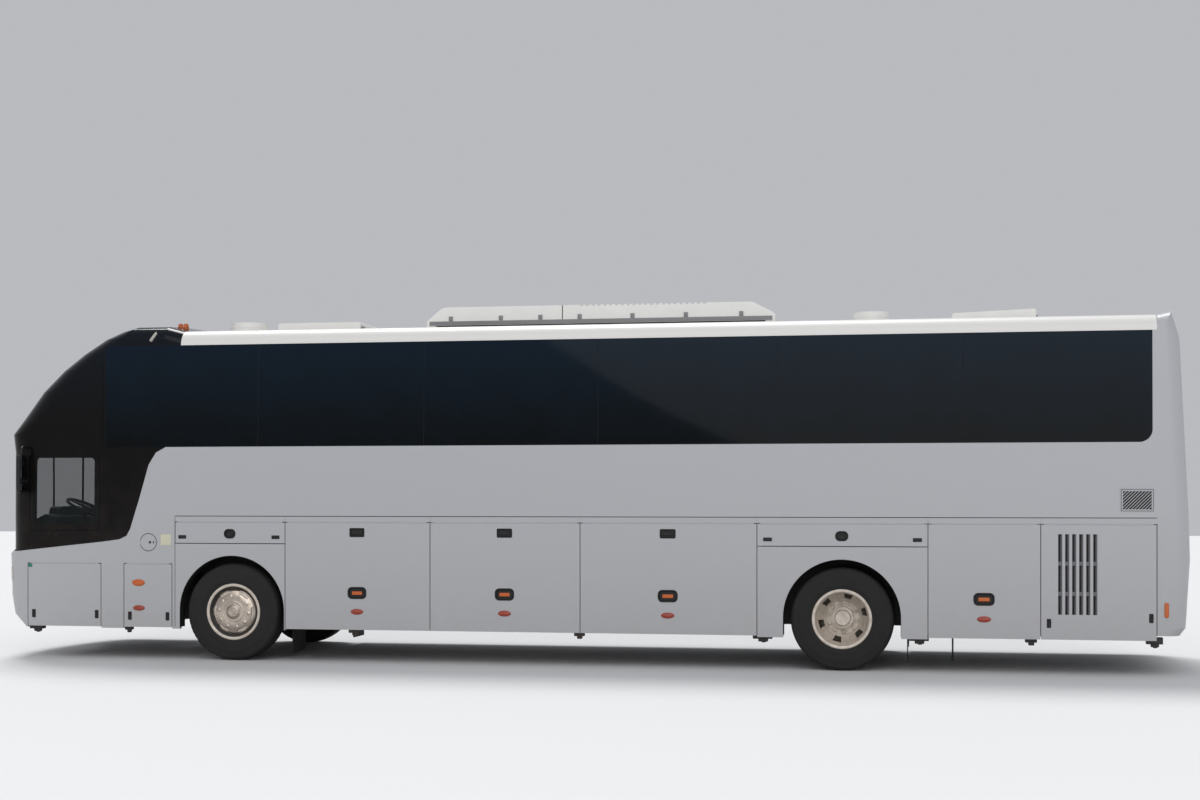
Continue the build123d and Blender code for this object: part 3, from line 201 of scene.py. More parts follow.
def moulded(name, color, roughness, grain_scale, depth, **constants):
    """Moulded plastic or rubber: a fine grain and slightly uneven gloss."""
    finish = Finish(name, color, roughness, **constants)
    patch = finish.noise(6.0, 4.0)
    lighter = tuple(c * (1.0 + 0.35 * (1.0 - c)) + 0.006 * (1.0 - c) for c in color)
    finish.tint(patch, color, lighter)
    finish.feed("Roughness", (roughness - 0.07) + 0.16 * patch)
    finish.bump(finish.noise(grain_scale, 3.0), 0.25, depth)
    return finish.material


def tinted(name, color, alpha, sheen_color, roughness=0.02):
    """Dark flat glass: smooth, slightly uneven, with a faint cold sheen that grows towards the roof."""
    finish = Finish(name, color, roughness, IOR=1.5, Alpha=alpha, Specular_IOR_Level=0.09)
    haze = finish.noise(2.5, 5.0)
    high = finish.between(finish.axis("Z") + 0.5 * haze, 2.3, 3.6)
    finish.tint(high, color, sheen_color)
    finish.feed("Roughness", roughness + 0.05 * haze * haze)
    finish.bump(finish.noise(1.1, 1.0), 0.05, 0.01)
    return finish.material


def metal(name, color, roughness, brushed, dirt):
    """Bare or plated metal with a little road dirt in patches."""
    finish = Finish(name, color, roughness, Metallic=1.0)
    grain = finish.noise(60.0, 4.0)
    soiled = finish.between(finish.noise(14.0, 6.0), 0.45, 0.85) * dirt
    finish.tint(soiled, color, (0.16, 0.12, 0.09))
    finish.feed("Metallic", 1.0 - 0.8 * soiled)
    finish.feed("Roughness", roughness + 0.35 * soiled + brushed * grain)
    finish.bump(grain, 0.08, 0.001)
    return finish.material


def dusty(name, color, roughness, plating):
    """Silver paint under road dust: part metallic, rough in patches, darker where dirt gathers."""
    finish = Finish(name, color, roughness)
    patch = finish.between(finish.noise(17.0, 7.0, 0.6), 0.42, 0.80)
    finish.tint(patch * 0.55, color, (0.20, 0.15, 0.11))
    finish.feed("Metallic", plating * (1.0 - patch))
    finish.feed("Roughness", roughness + 0.30 * patch)
    finish.bump(finish.noise(70.0, 4.0), 0.10, 0.001)
    return finish.material


def cloth(name, color, second):
    """Woven seat cover: crossed threads in two colours, with a soft sheen."""
    finish = Finish(name, color, 0.85, Sheen_Weight=0.25)
    flecks = finish.between(finish.noise(38.0, 3.0), 0.52, 0.60)
    finish.tint(flecks, color, second)
    finish.bump(finish.wave("Y", 160.0) * finish.wave("Z", 160.0), 0.4, 0.001)
    return finish.material


def speckled(name, color):
    """Covered deck: speckled sheet flooring."""
    finish = Finish(name, color, 0.6)
    speck = finish.between(finish.noise(220.0, 2.0), 0.55, 0.62)
    finish.tint(speck, color, tuple(2.0 * c for c in color))
    finish.bump(speck, 0.2, 0.0006)
    return finish.material


def cast(name, color, roughness, rust):
    """Painted iron under the floor: rough, with rust and mud in patches."""
    finish = Finish(name, color, roughness)
    patch = finish.between(finish.noise(11.0, 8.0, 0.65), 0.5, 0.78)
    finish.tint(patch * rust, color, (0.17, 0.10, 0.06))
    finish.feed("Roughness", roughness + 0.25 * patch)
    finish.bump(finish.noise(90.0, 5.0), 0.5, 0.002)
    return finish.material


def banded(name):
    """Tail lamp lens: red over orange over clear, in level bands with a fine ribbing."""
    finish = Finish(name, (0.45, 0.02, 0.015), 0.12, Coat_Weight=0.6)
    height = finish.axis("Z")
    tail = finish.mix(finish.between(height, 1.240, 1.244), (0.60, 0.17, 0.02), (0.42, 0.015, 0.012))
    finish.tint(finish.between(height, 0.996, 1.000), (0.55, 0.55, 0.55), tail)
    finish.bump(finish.wave("Z", 28.0), 0.25, 0.002)
    return finish.material


# the roof panel's copy of the body paint, brighter and warmer: painted sunlight
sunlit_roof_paint = painted("sunlit_roof_paint", (0.70, 0.69, 0.665), 0.15)
# its second colour is the painted sheen that the black takes on towards the top
gloss_black = lacquer("gloss_black", (0.0048, 0.0042, 0.0040), (0.0060, 0.0085, 0.0120))
tinted_glass = tinted("tinted_glass", (0.0028, 0.0034, 0.0032), 0.985, (0.0060, 0.0130, 0.0230))
clear_glass = tinted("clear_glass", (0.02, 0.025, 0.025), 0.30, (0.02, 0.03, 0.035))
# mirror glass darkened to a painted reflection of dark surroundings
mirror_dark_reflection = metal("mirror_dark_reflection", (0.11, 0.12, 0.13), 0.05, 0.02, 0.10)
chrome = metal("chrome", (0.80, 0.78, 0.76), 0.10, 0.05, 0.25)
cover_chrome = metal("cover_chrome", (0.52, 0.45, 0.385), 0.16, 0.10, 0.45)
wheel_metal = dusty("wheel_metal", (0.64, 0.575, 0.50), 0.40, 0.30)
axle_black = cast("axle_black", (0.020, 0.019, 0.018), 0.55, 0.55)
seat_cloth = cloth("seat_cloth", (0.018, 0.028, 0.070), (0.06, 0.09, 0.18))
roof_white = moulded("roof_white", (0.70, 0.69, 0.66), 0.42, 140.0, 0.0004, Coat_Weight=0.2)
tyre_rubber = moulded("tyre_rubber", (0.016, 0.0155, 0.015), 0.82, 320.0, 0.0012, Specular_IOR_Level=0.22)
black_rubber = moulded("black_rubber", (0.010, 0.010, 0.010), 0.70, 260.0, 0.001, Specular_IOR_Level=0.20)
black_plastic = moulded("black_plastic", (0.012, 0.012, 0.0125), 0.38, 300.0, 0.0006, Specular_IOR_Level=0.22)
lens_orange = moulded("lens_orange", (0.46, 0.085, 0.006), 0.28, 90.0, 0.0015, Coat_Weight=0.12)
lens_red = moulded("lens_red", (0.27, 0.030, 0.012), 0.28, 90.0, 0.0015, Coat_Weight=0.12)
lens_milky = moulded("lens_milky", (0.36, 0.34, 0.30), 0.22, 90.0, 0.0010, Coat_Weight=0.3)
lens_banded = banded("lens_banded")
band_grey = moulded("band_grey", (0.17, 0.17, 0.175), 0.45, 160.0, 0.0006)
louvre_light = moulded("louvre_light", (0.30, 0.30, 0.31), 0.45, 200.0, 0.0004)
louvre_grey = moulded("louvre_grey", (0.10, 0.10, 0.105), 0.50, 200.0, 0.0006)
plate_sand = moulded("plate_sand", (0.52, 0.50, 0.36), 0.45, 120.0, 0.0004)
tab_green = moulded("tab_green", (0.02, 0.14, 0.09), 0.45, 120.0, 0.0004)

# Each slot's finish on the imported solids, then those of the other pieces in that slot. A finish in two slots
# counts in the later one, so that a piece in clear glass is a lamp's.
SLOTS = {
    # the body paint here is darkened to a painted shade, the white sides as they look out of the sun
    "body_white": (painted("body_white", (0.405, 0.41, 0.43), 0.34), louvre_light, louvre_grey),
    "roof_white": (roof_white, band_grey, plate_sand, tab_green),
    "gloss_black": (gloss_black,),
    "tinted_glass": (tinted_glass,),
    "clear_glass": (clear_glass,),
    "lamp_lens": (clear_glass, lens_orange, lens_red, lens_milky, lens_banded),
    "tyre": (tyre_rubber,),
    "wheel_metal": (wheel_metal, chrome, cover_chrome, mirror_dark_reflection),
    "rubber_black": (black_rubber,),
    "axle_black": (axle_black,),
    "engine_grey": (cast("engine_grey", (0.10, 0.11, 0.11), 0.55, 0.35),),
    "seat_fabric": (seat_cloth,),
    "cab_plastic": (black_plastic,),
    "deck_wood": (speckled("deck_sheet", (0.09, 0.09, 0.095)),),
    "floor_grey": (cast("floor_grey", (0.045, 0.045, 0.045), 0.65, 0.35),),
}
SLOT_OF = {finish: slot for slot, finishes in SLOTS.items() for finish in finishes}
for part in frame["record"]["subparts"]:
    # the roof panel takes the sunlit copy of the body paint, the rest the shaded one
    paint = sunlit_roof_paint if part["node"] == "roof_panel" else SLOTS[part["material_slot"]][0]
    for holder in frame["nodes"][part["node"]].material_slots:
        holder.material = paint


# Mesh making

class Form:
    """Surfaces gathered into one mesh, each a grid of points worked out as a whole array."""

    def __init__(self, *grids):
        self.points = []
        self.faces = []
        self.count = 0
        for grid in grids:
            self.add(grid)

    def join(self, other):
        """Another form's surfaces too."""
        self.points += other.points
        self.faces += [faces + self.count for faces in other.faces]
        self.count += other.count
        return self

    def add(self, grid):
        """A grid of points, rows by columns: four-sided faces between neighbours, every row closed."""
        rows, columns = grid.shape[:2]
        index = self.count + np.arange(rows * columns).reshape(rows, columns)
        index = np.hstack([index, index[:, :1]])
        corners = (index[:-1, :-1], index[:-1, 1:], index[1:, 1:], index[1:, :-1])
        self.points.append(grid.reshape(-1, 3))
        self.faces.append(np.stack(corners, axis=-1).reshape(-1, 4))
        self.count += rows * columns
        return self

    def mirrored(self):
        """The same form on the coach's other side: y becomes minus y."""
        twin = Form()
        twin.points = [points * (1.0, -1.0, 1.0) for points in self.points]
        twin.faces = self.faces
        twin.count = self.count
        return twin


def dressed(mesh, finish, body, replaces, crease, near, outwards=True):
    """One object: points nearer than near merged, smooth except at edges sharper than crease."""
    work = bmesh.new()
    work.from_mesh(mesh)
    bmesh.ops.remove_doubles(work, verts=work.verts, dist=near)
    if outwards:
        bmesh.ops.recalc_face_normals(work, faces=work.faces)
    work.to_mesh(mesh)
    work.free()
    mesh.shade_smooth()
    mesh.set_sharp_from_angle(angle=radians(crease))
    mesh.materials.append(finish)
    made = bpy.data.objects.new(mesh.name, mesh)
    bpy.context.scene.collection.objects.link(made)
    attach(made, body)
    if replaces:
        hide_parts(*replaces)
    return made


def piece(name, form, finish, body="body", replaces=(), crease=35.0):
    """A form as one object, its faces turned outwards."""
    mesh = bpy.data.meshes.new(name)
    points = np.concatenate(form.points)
    faces = np.concatenate(form.faces)
    mesh.vertices.add(len(points))
    mesh.vertices.foreach_set("co", points.ravel())
    mesh.loops.add(faces.size)
    mesh.loops.foreach_set("vertex_index", faces.ravel())
    mesh.polygons.add(len(faces))
    mesh.polygons.foreach_set("loop_start", np.arange(0, faces.size, 4))
    mesh.update(calc_edges=True)
    return dressed(mesh, finish, body, replaces, crease, 0.000002)


def both_sides(name, form, finish, body="body", replaces=(), crease=35.0):
    """A form and its mirror image, each riding on its own side's body."""
    for side, shape in (("left", form), ("right", form.mirrored())):
        owner = body if body == "body" else f"{body}_{side}"
        piece(f"{name}_{side}", shape, finish, owner, [f"{node}_{side}" for node in replaces], crease)


def circle(count, start=0.0):
    """Angles spread evenly round a turn."""
    return start + np.arange(count) * 2 * pi / count


def spun(axis, along, reach, angle, middle):
    """Points at a distance along an axis through the middle, and at a reach and an angle about it."""
    along, first, second = along + 0.0 * angle, reach * np.cos(angle), reach * np.sin(angle)
    order = {"X": (along, first, second), "Y": (first, along, second), "Z": (first, second, along)}[axis]
    return np.stack(order, axis=-1) + np.array(middle)


def turned(profile, middle, count=64, axis="Y"):
    """Profile turned about an axis: each pair gives a circle, its distance along and its radius."""
    along, radius = np.array(profile, dtype=float).T[:, :, None]
    return spun(axis, along, radius, circle(count), middle)


def rounded(width, height, radius, steps=6):
    """Rounded rectangle: a quarter circle about each inner corner."""
    angle = np.linspace(0.0, pi / 2, steps) + (np.arange(4) * pi / 2)[:, None]
    centre = np.array([[1, 1], [-1, 1], [-1, -1], [1, -1]]) * (width / 2 - radius, height / 2 - radius)
    arc = radius * np.stack([np.cos(angle), np.sin(angle)], axis=-1)
    return (arc + centre[:, None, :]).reshape(-1, 2)


def oval(width, height, count=36):
    """Ellipse."""
    angle = circle(count)
    return np.stack([width / 2 * np.cos(angle), height / 2 * np.sin(angle)], axis=-1)


def edge_rows(back, front, bevel, steps=4):
    """Rows of a plate, back to face: how far each is drawn in, and its depth, a quarter circle last."""
    turn = np.linspace(0.0, pi / 2, steps)
    bevel_rows = [(bevel * (1 - c), front - bevel + bevel * s) for c, s in zip(np.cos(turn), np.sin(turn))]
    return [(0.0, back)] + bevel_rows


FLAT_CLOSE = ((0.5, 0.0), (0.0, 0.0))


def layers(outline, rows, closing=FLAT_CLOSE):
    """Outline drawn in row by row, then shrunk to its middle; the first row is closed behind.

    A row's points are the outline times 1 - inset / half size on each axis. Closing rows are a share of the
    last outline and a rise. Returns flat coordinates, and depths as a column.
    """
    half = np.abs(outline).max(axis=0)
    flat = [outline * 0.0] + [outline * (1.0 - inset / half) for inset, _ in rows]
    flat += [flat[-1] * share for share, _ in closing]
    depth = [rows[0][1]] + [level for _, level in rows] + [rows[-1][1] + rise for _, rise in closing]
    return np.array(flat), np.array(depth)[:, None]


def side_y(z):
    """Half the body's width: upright below the waist, leaning in above it."""
    return HALF_WIDTH + LEAN * np.maximum(0.0, z - WAIST_Z)


def on_side(flat, depth, x, z):
    """Points on the left side about x, z; depths count outwards from the skin."""
    up = z + flat[..., 1]
    return np.stack([x + flat[..., 0], side_y(up) + depth, up], axis=-1)


def side_plate(outline, x, z, rows, closing=FLAT_CLOSE):
    """Plate on the left side at x, z."""
    return on_side(*layers(outline, rows, closing), x, z)


def level_plate(outline, x, y, rows):
    """Plate lying level at x, y; depths are heights."""
    flat, depth = layers(outline, rows)
    return np.stack([x + flat[..., 0], y + flat[..., 1], depth + 0.0 * flat[..., 0]], axis=-1)


def end_plate(outline, y, z, rows):
    """Plate facing forward or back; depths are distances along X from the middle of the coach."""
    flat, depth = layers(outline, rows)
    return np.stack([depth + 0.0 * flat[..., 0], y + flat[..., 0], z + flat[..., 1]], axis=-1)


def frame_rows(inner, outer, back, face):
    """Rows of a flat frame between two outlines, closed round its back."""
    return ((inner, back), (inner, face), (outer, face), (outer, back), (inner, back))


def ring(place, rows, *where):
    """Rows that each have an outline of their own, every one put in place at its depth."""
    return np.array([place(flat, depth, *where) for flat, depth in rows])


def block(x_low, x_high, y_low, y_high, z_low, z_high, bevel=0.002):
    """Block with softened edges: a rounded rectangle in plan, drawn in at its top and bottom."""
    outline = rounded(x_high - x_low, y_high - y_low, bevel, 3)
    rows = [(bevel, z_low), (0.0, z_low + bevel)] + edge_rows(z_low + bevel, z_high, bevel, 3)[1:]
    return level_plate(outline, (x_low + x_high) / 2, (y_low + y_high) / 2, rows)


def capped(grid):
    """A grid with a row added at each end, drawn to that end's middle."""
    first, last = grid[:1], grid[-1:]
    return np.concatenate([first.mean(axis=1, keepdims=True) + 0.0 * first, grid,
                           last.mean(axis=1, keepdims=True) + 0.0 * last])


def tube(path, radius, count=12):
    """Round bar along a path: circles square to the path's direction, drawn to a point at both ends."""
    path = np.array(path, dtype=float)
    ahead = np.gradient(path, axis=0)
    ahead /= np.linalg.norm(ahead, axis=1, keepdims=True)
    helper = np.where(np.abs(ahead[:, 2:3]) > 0.9, [[1.0, 0.0, 0.0]], [[0.0, 0.0, 1.0]])
    first = np.cross(ahead, helper)
    first /= np.linalg.norm(first, axis=1, keepdims=True)
    second = np.cross(ahead, first)
    angle = circle(count)[None, :, None]
    return capped(path[:, None] + radius * (first[:, None] * np.cos(angle) + second[:, None] * np.sin(angle)))


def bent(points, radius=0.04, steps=5):
    """Path through points with its corners rounded: a quadratic curve between two points at each corner."""
    points = np.array(points, dtype=float)
    share = np.linspace(0.0, 1.0, steps)[:, None]
    path = [points[:1]]
    for before, corner, after in zip(points[:-2], points[1:-1], points[2:]):
        start = corner + radius * (before - corner) / np.linalg.norm(before - corner)
        end = corner + radius * (after - corner) / np.linalg.norm(after - corner)
        path.append((1 - share) ** 2 * start + 2 * share * (1 - share) * corner + share ** 2 * end)
    path.append(points[-1:])
    return np.concatenate(path)


FAR = 8.0
trees = {}


def meets(node, point, outward):
    """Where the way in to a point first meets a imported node, and the skin's normal there, or None twice."""
    if node not in trees:
        mesh = frame["nodes"][node].data
        trees[node] = BVHTree.FromPolygons([tuple(v.co) for v in mesh.vertices],
                                           [tuple(p.vertices) for p in mesh.polygons])
    outward = np.array(outward, dtype=float)
    where, normal = trees[node].ray_cast(tuple(np.array(point) + FAR * outward), tuple(-outward))[:2]
    return (None, None) if where is None else (np.array(where), np.array(normal))


def front_x(node, y, z):
    """Distance along X where a level line at y, z meets a node from the front, or None."""
    where = meets(node, (0.0, y, z), (1, 0, 0))[0]
    return None if where is None else where[0]


# Tyres: bead, ribbed side wall, shoulder and zigzag tread, closed round the inside
TYRE_R = 0.500
TREAD_HALF = 0.112
TREAD_FALL = 0.0085
GROOVES = (0.078, 0.027, -0.027, -0.078)
GROOVE_HALF = 0.0055
GROOVE_DEPTH = 0.012
ZIGZAGS = 60
ZIGZAG_REACH = 0.009
LUG_R = 0.486
LUG_HALF = 0.0085
LUG_DEPTH = 0.0065
LUG_SHARE = 0.35
TYRE_STEPS = 300
TYRE_WALL = ((0.116, 0.290), (0.124, 0.292), (0.131, 0.302), (0.135, 0.318), (0.1385, 0.330),
             (0.1400, 0.3315), (0.1400, 0.3345), (0.1395, 0.336), (0.1425, 0.362), (0.1445, 0.390),
             (0.1450, 0.398), (0.1455, 0.3995), (0.1455, 0.4045), (0.1447, 0.406), (0.1425, 0.430),
             (0.1395, 0.448), (0.1392, 0.4495), (0.1400, 0.451), (0.1385, 0.462), (0.1340, 0.474),
             (0.1260, 0.4855), (0.1130, 0.4915))
TYRE_INSIDE = ((-0.100, 0.300), (-0.115, 0.380), (-0.095, 0.470), (0.095, 0.470), (0.115, 0.380),
               (0.100, 0.300), (0.116, 0.290))


def tyre_profile():
    """Section as distance along, radius and whether a point follows the tread's zigzag.

    The tread falls from TYRE_R with the square of the distance from the middle, and drops in the grooves.
    """
    tread = []
    for centre in GROOVES:
        for step, deep in ((GROOVE_HALF, 0), (GROOVE_HALF - 0.001, 1),
                           (0.001 - GROOVE_HALF, 1), (-GROOVE_HALF, 0)):
            along = centre + step
            tread.append((along, TYRE_R - TREAD_FALL * (along / TREAD_HALF) ** 2 - GROOVE_DEPTH * deep, 1))
    near, inside = ([(a, r, 0) for a, r in rows] for rows in (TYRE_WALL, TYRE_INSIDE))
    return np.array(near + tread + [(-a, r, 0) for a, r in reversed(TYRE_WALL)] + inside)


def tyre(axle_x, middle_y):
    """Tyre's surface: the section turned about the axle.

    Groove columns shift along by a triangle wave of the angle; the shoulders drop where a lug's notch passes.
    """
    along, radius, follow = tyre_profile().T[:, :, None]
    angle = circle(TYRE_STEPS)
    phase = (angle * ZIGZAGS / (2 * pi)) % 1.0
    wave = 2.0 * np.abs(phase - 0.5) - 0.5
    shoulder = np.clip(1.0 - np.abs(radius - LUG_R) / LUG_HALF, 0.0, 1.0) * (np.abs(along) > TREAD_HALF)
    return spun("Y", along + ZIGZAG_REACH * wave * follow,
                radius - LUG_DEPTH * (phase < LUG_SHARE) * shoulder, angle, (axle_x, middle_y, AXLE_Z))


front_tyre = Form(tyre(FRONT_AXLE_X, WHEEL_Y))
both_sides("front_tyre_tread", front_tyre, tyre_rubber, "front_wheel", ["front_tyre"], 40.0)
rear_pair = Form(tyre(REAR_AXLE_X, WHEEL_Y), tyre(REAR_AXLE_X, WHEEL_Y - TWIN_SPACING))
both_sides("rear_tyre_tread", rear_pair, tyre_rubber, "rear_wheel", ["rear_tyres"], 40.0)

# Front wheel cover: a plated dish with pressed slots near its edge and ten nut domes
FRONT_HUB = (FRONT_AXLE_X, WHEEL_Y, AXLE_Z)
COVER_PROFILE = ((0.2360, 0.074), (0.2365, 0.080), (0.2340, 0.086), (0.2290, 0.0905), (0.2230, 0.0950),
                 (0.2130, 0.1030), (0.2000, 0.1075), (0.1850, 0.1120), (0.1700, 0.1155), (0.1550, 0.1175),
                 (0.1400, 0.1190), (0.1240, 0.1200), (0.1140, 0.1202), (0.1110, 0.1190), (0.1080, 0.1202),
                 (0.0900, 0.1212), (0.0760, 0.1218), (0.0720, 0.1250), (0.0600, 0.1345), (0.0560, 0.1352),
                 (0.0520, 0.1395), (0.0300, 0.1415), (0.0260, 0.1405), (0.0220, 0.1418), (0.0, 0.1420))
COVER_SLOTS = 6
SLOT_R = 0.207
SLOT_HALF = 0.040
SLOT_REACH = 0.0135
SLOT_SLOPE = 0.0018
SLOT_DEPTH = 0.016
SLOT_TURN = 0.05
COVER_NUTS = 10
NUT_DOME_RING = 0.163
NUT_DOME_R = 0.0165
NUT_DOME_RISE = 0.0050
NUT_DOME_TURN = 0.1


def wheel_cover():
    """Cover's surface: the profile turned, pressed in where a slot lies and raised over each nut.

    A slot's edge is a steep S-curve of the distance from its middle line; a nut's dome is half an ellipse.
    """
    profile = np.array(COVER_PROFILE)
    place = np.arange(0.0, len(profile) - 0.9, 0.25)
    radius, rise = (np.interp(place, np.arange(len(profile)), column)[:, None] for column in profile.T)
    angle = circle(288)

    def nearest(count, start):
        """Distance along the circle to the nearest of some evenly spread lines."""
        return radius * ((angle - start + pi / count) % (2 * pi / count) - pi / count)

    slot = np.maximum(np.abs(nearest(COVER_SLOTS, SLOT_TURN)) - SLOT_HALF, 0.0) ** 2 + (radius - SLOT_R) ** 2
    pressed = 0.5 - 0.5 * np.tanh((np.sqrt(slot) - SLOT_REACH) / SLOT_SLOPE)
    nut = np.sqrt(nearest(COVER_NUTS, NUT_DOME_TURN) ** 2 + (radius - NUT_DOME_RING) ** 2)
    dome = np.sqrt(np.clip(1.0 - (nut / NUT_DOME_R) ** 2, 0.0, 1.0))
    return spun("Y", rise - SLOT_DEPTH * pressed + NUT_DOME_RISE * dome, radius, angle, FRONT_HUB)


def slot_shade_strip(turn):
    """Painted shade in a pressed slot: a dark rounded strip bent along the slot's arc, its length over SLOT_R.
    """
    flat, depth = layers(rounded(2 * SLOT_HALF + 0.022, 0.024, 0.011), edge_rows(0.088, 0.0975, 0.001))
    return spun("Y", depth, SLOT_R + flat[..., 1], turn + flat[..., 0] / SLOT_R, FRONT_HUB)


both_sides("front_wheel_cover", Form(wheel_cover()), cover_chrome, "front_wheel", crease=50.0)
# dark strips lying in the slots: painted shade
slot_shade_strips = Form(*(slot_shade_strip(turn) for turn in circle(COVER_SLOTS, SLOT_TURN)))
both_sides("front_cover_slot_shade", slot_shade_strips, black_plastic, "front_wheel")
# painted shade: a dark band filling the groove between the cover's edge and the rim's lip
groove_shade_band = turned([(0.0860, 0.2365), (0.0885, 0.2365), (0.1115, 0.2605), (0.1090, 0.2605), (0.0860, 0.2365)],
                FRONT_HUB, 144)
both_sides("front_cover_groove_shade", Form(groove_shade_band), axle_black, "front_wheel")

# Bright rolled edge of each rim, lying on its flange, and the rear wheel's nuts with their stud ends
RIM_LIP = ((0.112, 0.2600), (0.1195, 0.2610), (0.1230, 0.2680), (0.1245, 0.2780), (0.1235, 0.2860),
           (0.1190, 0.2905), (0.112, 0.2900), (0.112, 0.2600))
for end, axle_x in (("front", FRONT_AXLE_X), ("rear", REAR_AXLE_X)):
    lip = Form(turned(RIM_LIP, (axle_x, WHEEL_Y, AXLE_Z), 144))
    both_sides(f"{end}_rim_lip", lip, wheel_metal, f"{end}_wheel")

NUT_PROFILE = ((0.0, 0.0), (0.0, 0.0165), (0.018, 0.0165), (0.021, 0.01353), (0.021, 0.0095), (0.033, 0.0090),
               (0.0345, 0.0075), (0.0345, 0.0))
NUT_RING_R = 0.1425
NUT_BASE = -0.151
nuts = Form(*(turned(NUT_PROFILE, (REAR_AXLE_X + NUT_RING_R * cos(turn), WHEEL_Y + NUT_BASE,
                                   AXLE_Z + NUT_RING_R * sin(turn)), 6) for turn in circle(10, 0.2)))
both_sides("rear_wheel_nuts", nuts, wheel_metal, "rear_wheel", crease=25.0)


# Details of the flaps: handles, markers and latches, each riding on its flap

FLAP_MIDDLES = {"luggage_flap_1": 2.079, "luggage_flap_2": 0.546, "luggage_flap_3": -1.0975,
                "rear_locker_flap": -4.132}
POCKET_FLOOR = -0.0135
PADDLE_Z = 1.326
GRIP_Z = 0.708
MARKER_Z = 0.518
HATCH_HANDLE_Z = 1.303
HATCH_LATCH_Z = 1.269


def paddle_latch(x):
    """Paddle latch in the upper pocket: a bezel round a sunk floor, and a paddle with a finger dish."""
    bezel = [(0.0, -0.012), (0.0, 0.0015), (0.001, 0.003), (0.006, 0.003), (0.008, 0.001),
             (0.009, POCKET_FLOOR + 0.003)]
    dish = ((0.8, 0.0), (0.55, -0.004), (0.0, -0.004))
    return Form(
        side_plate(rounded(0.158, 0.092, 0.014), x, PADDLE_Z - 0.006, bezel),
        side_plate(rounded(0.112, 0.044, 0.008), x, PADDLE_Z,
                   edge_rows(POCKET_FLOOR + 0.001, -0.002, 0.004), dish),
        side_plate(rounded(0.118, 0.010, 0.004), x, PADDLE_Z - 0.035,
                   edge_rows(POCKET_FLOOR + 0.001, -0.005, 0.003)))


def grip_bezel(x):
    """Rounded grip recess: a rolled rim and a dished floor."""
    rows = [(0.0, -0.012), (0.0, 0.002), (0.0015, 0.0045), (0.004, 0.0055), (0.008, 0.0055), (0.011, 0.004),
            (0.014, -0.002), (0.018, -0.009)]
    return Form(side_plate(rounded(0.198, 0.122, 0.045, 9), x, GRIP_Z, rows))


def marker_lamp(x, z, width=0.132, height=0.058):
    """Oval marker lamp: a thin foot and a domed lens, its height falling off towards the edge."""
    rows = [(0.0, -0.001), (0.0, 0.003), (0.0015, 0.0045), (0.0035, 0.0050), (0.0045, 0.0075),
            (0.008, 0.0115)]
    return Form(side_plate(oval(width, height), x, z, rows, ((0.7, 0.0022), (0.4, 0.0036), (0.0, 0.0042))))


def upright_latch(x, z):
    """Small flush latch: a rounded plate with a sunk thumb dish and a lock barrel."""
    rows = [(0.0, -0.001), (0.0, 0.003), (0.001, 0.0045), (0.006, 0.0045), (0.008, 0.0015)]
    return Form(side_plate(rounded(0.040, 0.086, 0.009), x, z, rows),
                side_plate(oval(0.016, 0.016, 16), x, z + 0.018, edge_rows(0.0, 0.0055, 0.002)))


def level_latch(x, z):
    """Small latch lying level, with two barrels."""
    form = Form(side_plate(rounded(0.085, 0.037, 0.006), x, z, edge_rows(-0.001, 0.0045, 0.0025)))
    for step in (-0.022, 0.022):
        form.add(side_plate(oval(0.019, 0.019, 18), x + step, z, edge_rows(0.0, 0.0075, 0.002)))
    return form


for flap, middle in FLAP_MIDDLES.items():
    if flap.startswith("luggage"):
        both_sides(f"{flap}_paddle", paddle_latch(middle), black_plastic, flap)
    both_sides(f"{flap}_grip", grip_bezel(middle), black_plastic, flap)
    bar = side_plate(rounded(0.106, 0.036, 0.006), middle, GRIP_Z - 0.0015, edge_rows(-0.010, 0.0035, 0.004))
    both_sides(f"{flap}_reflector", Form(bar), lens_orange, flap)
    both_sides(f"{flap}_marker", marker_lamp(middle, MARKER_Z), lens_red, flap)

HATCH_BEZEL = [(0.0, -0.012), (0.0, 0.002), (0.001, 0.0035), (0.005, 0.0040), (0.008, 0.002), (0.012, -0.009)]
for flap, ends, middle in (("front_wheel_hatch", (3.957, 2.946), 3.440),
                           ("rear_wheel_hatch", (-2.076, -3.509), -2.7905)):
    hatch = Form(side_plate(rounded(0.126, 0.098, 0.046, 9), middle, HATCH_HANDLE_Z, HATCH_BEZEL),
                 side_plate(oval(0.084, 0.052), middle, HATCH_HANDLE_Z,
                            edge_rows(POCKET_FLOOR, -0.001, 0.005),
                            ((0.7, -0.001), (0.45, -0.003), (0.0, -0.003))))
    for x in ends:
        hatch.join(level_latch(x, HATCH_LATCH_Z))
    both_sides(f"{flap}_handle", hatch, black_plastic, flap)

both_sides("battery_flap_upper_marker", marker_lamp(4.439, 0.793, 0.140, 0.070), lens_orange, "battery_flap")
both_sides("battery_flap_lower_marker", marker_lamp(4.433, 0.531, 0.130, 0.056), lens_red, "battery_flap")
for make, name, owner, first, second in (
        (both_sides, "battery_flap_latches", "battery_flap", (4.533, 0.450), (4.119, 0.447)),
        (both_sides, "engine_door_latches", "engine_side_door", (-4.732, 0.487), (-5.662, 0.545)),
        (piece, "cab_flap_latches", "cab_locker_flap_left", (5.607, 0.463), (4.902, 0.461))):
    make(name, upright_latch(*first).join(upright_latch(*second)), black_plastic, owner)

# Filler flap: a lock barrel beside its small cover
filler_lock = Form(side_plate(rounded(0.022, 0.024, 0.004), 4.312, 1.212, edge_rows(-0.001, 0.004, 0.002)),
                   side_plate(oval(0.012, 0.026, 20), 4.274, 1.212, edge_rows(-0.001, 0.0035, 0.002)))
piece("filler_lock", filler_lock, black_plastic, "filler_flap")

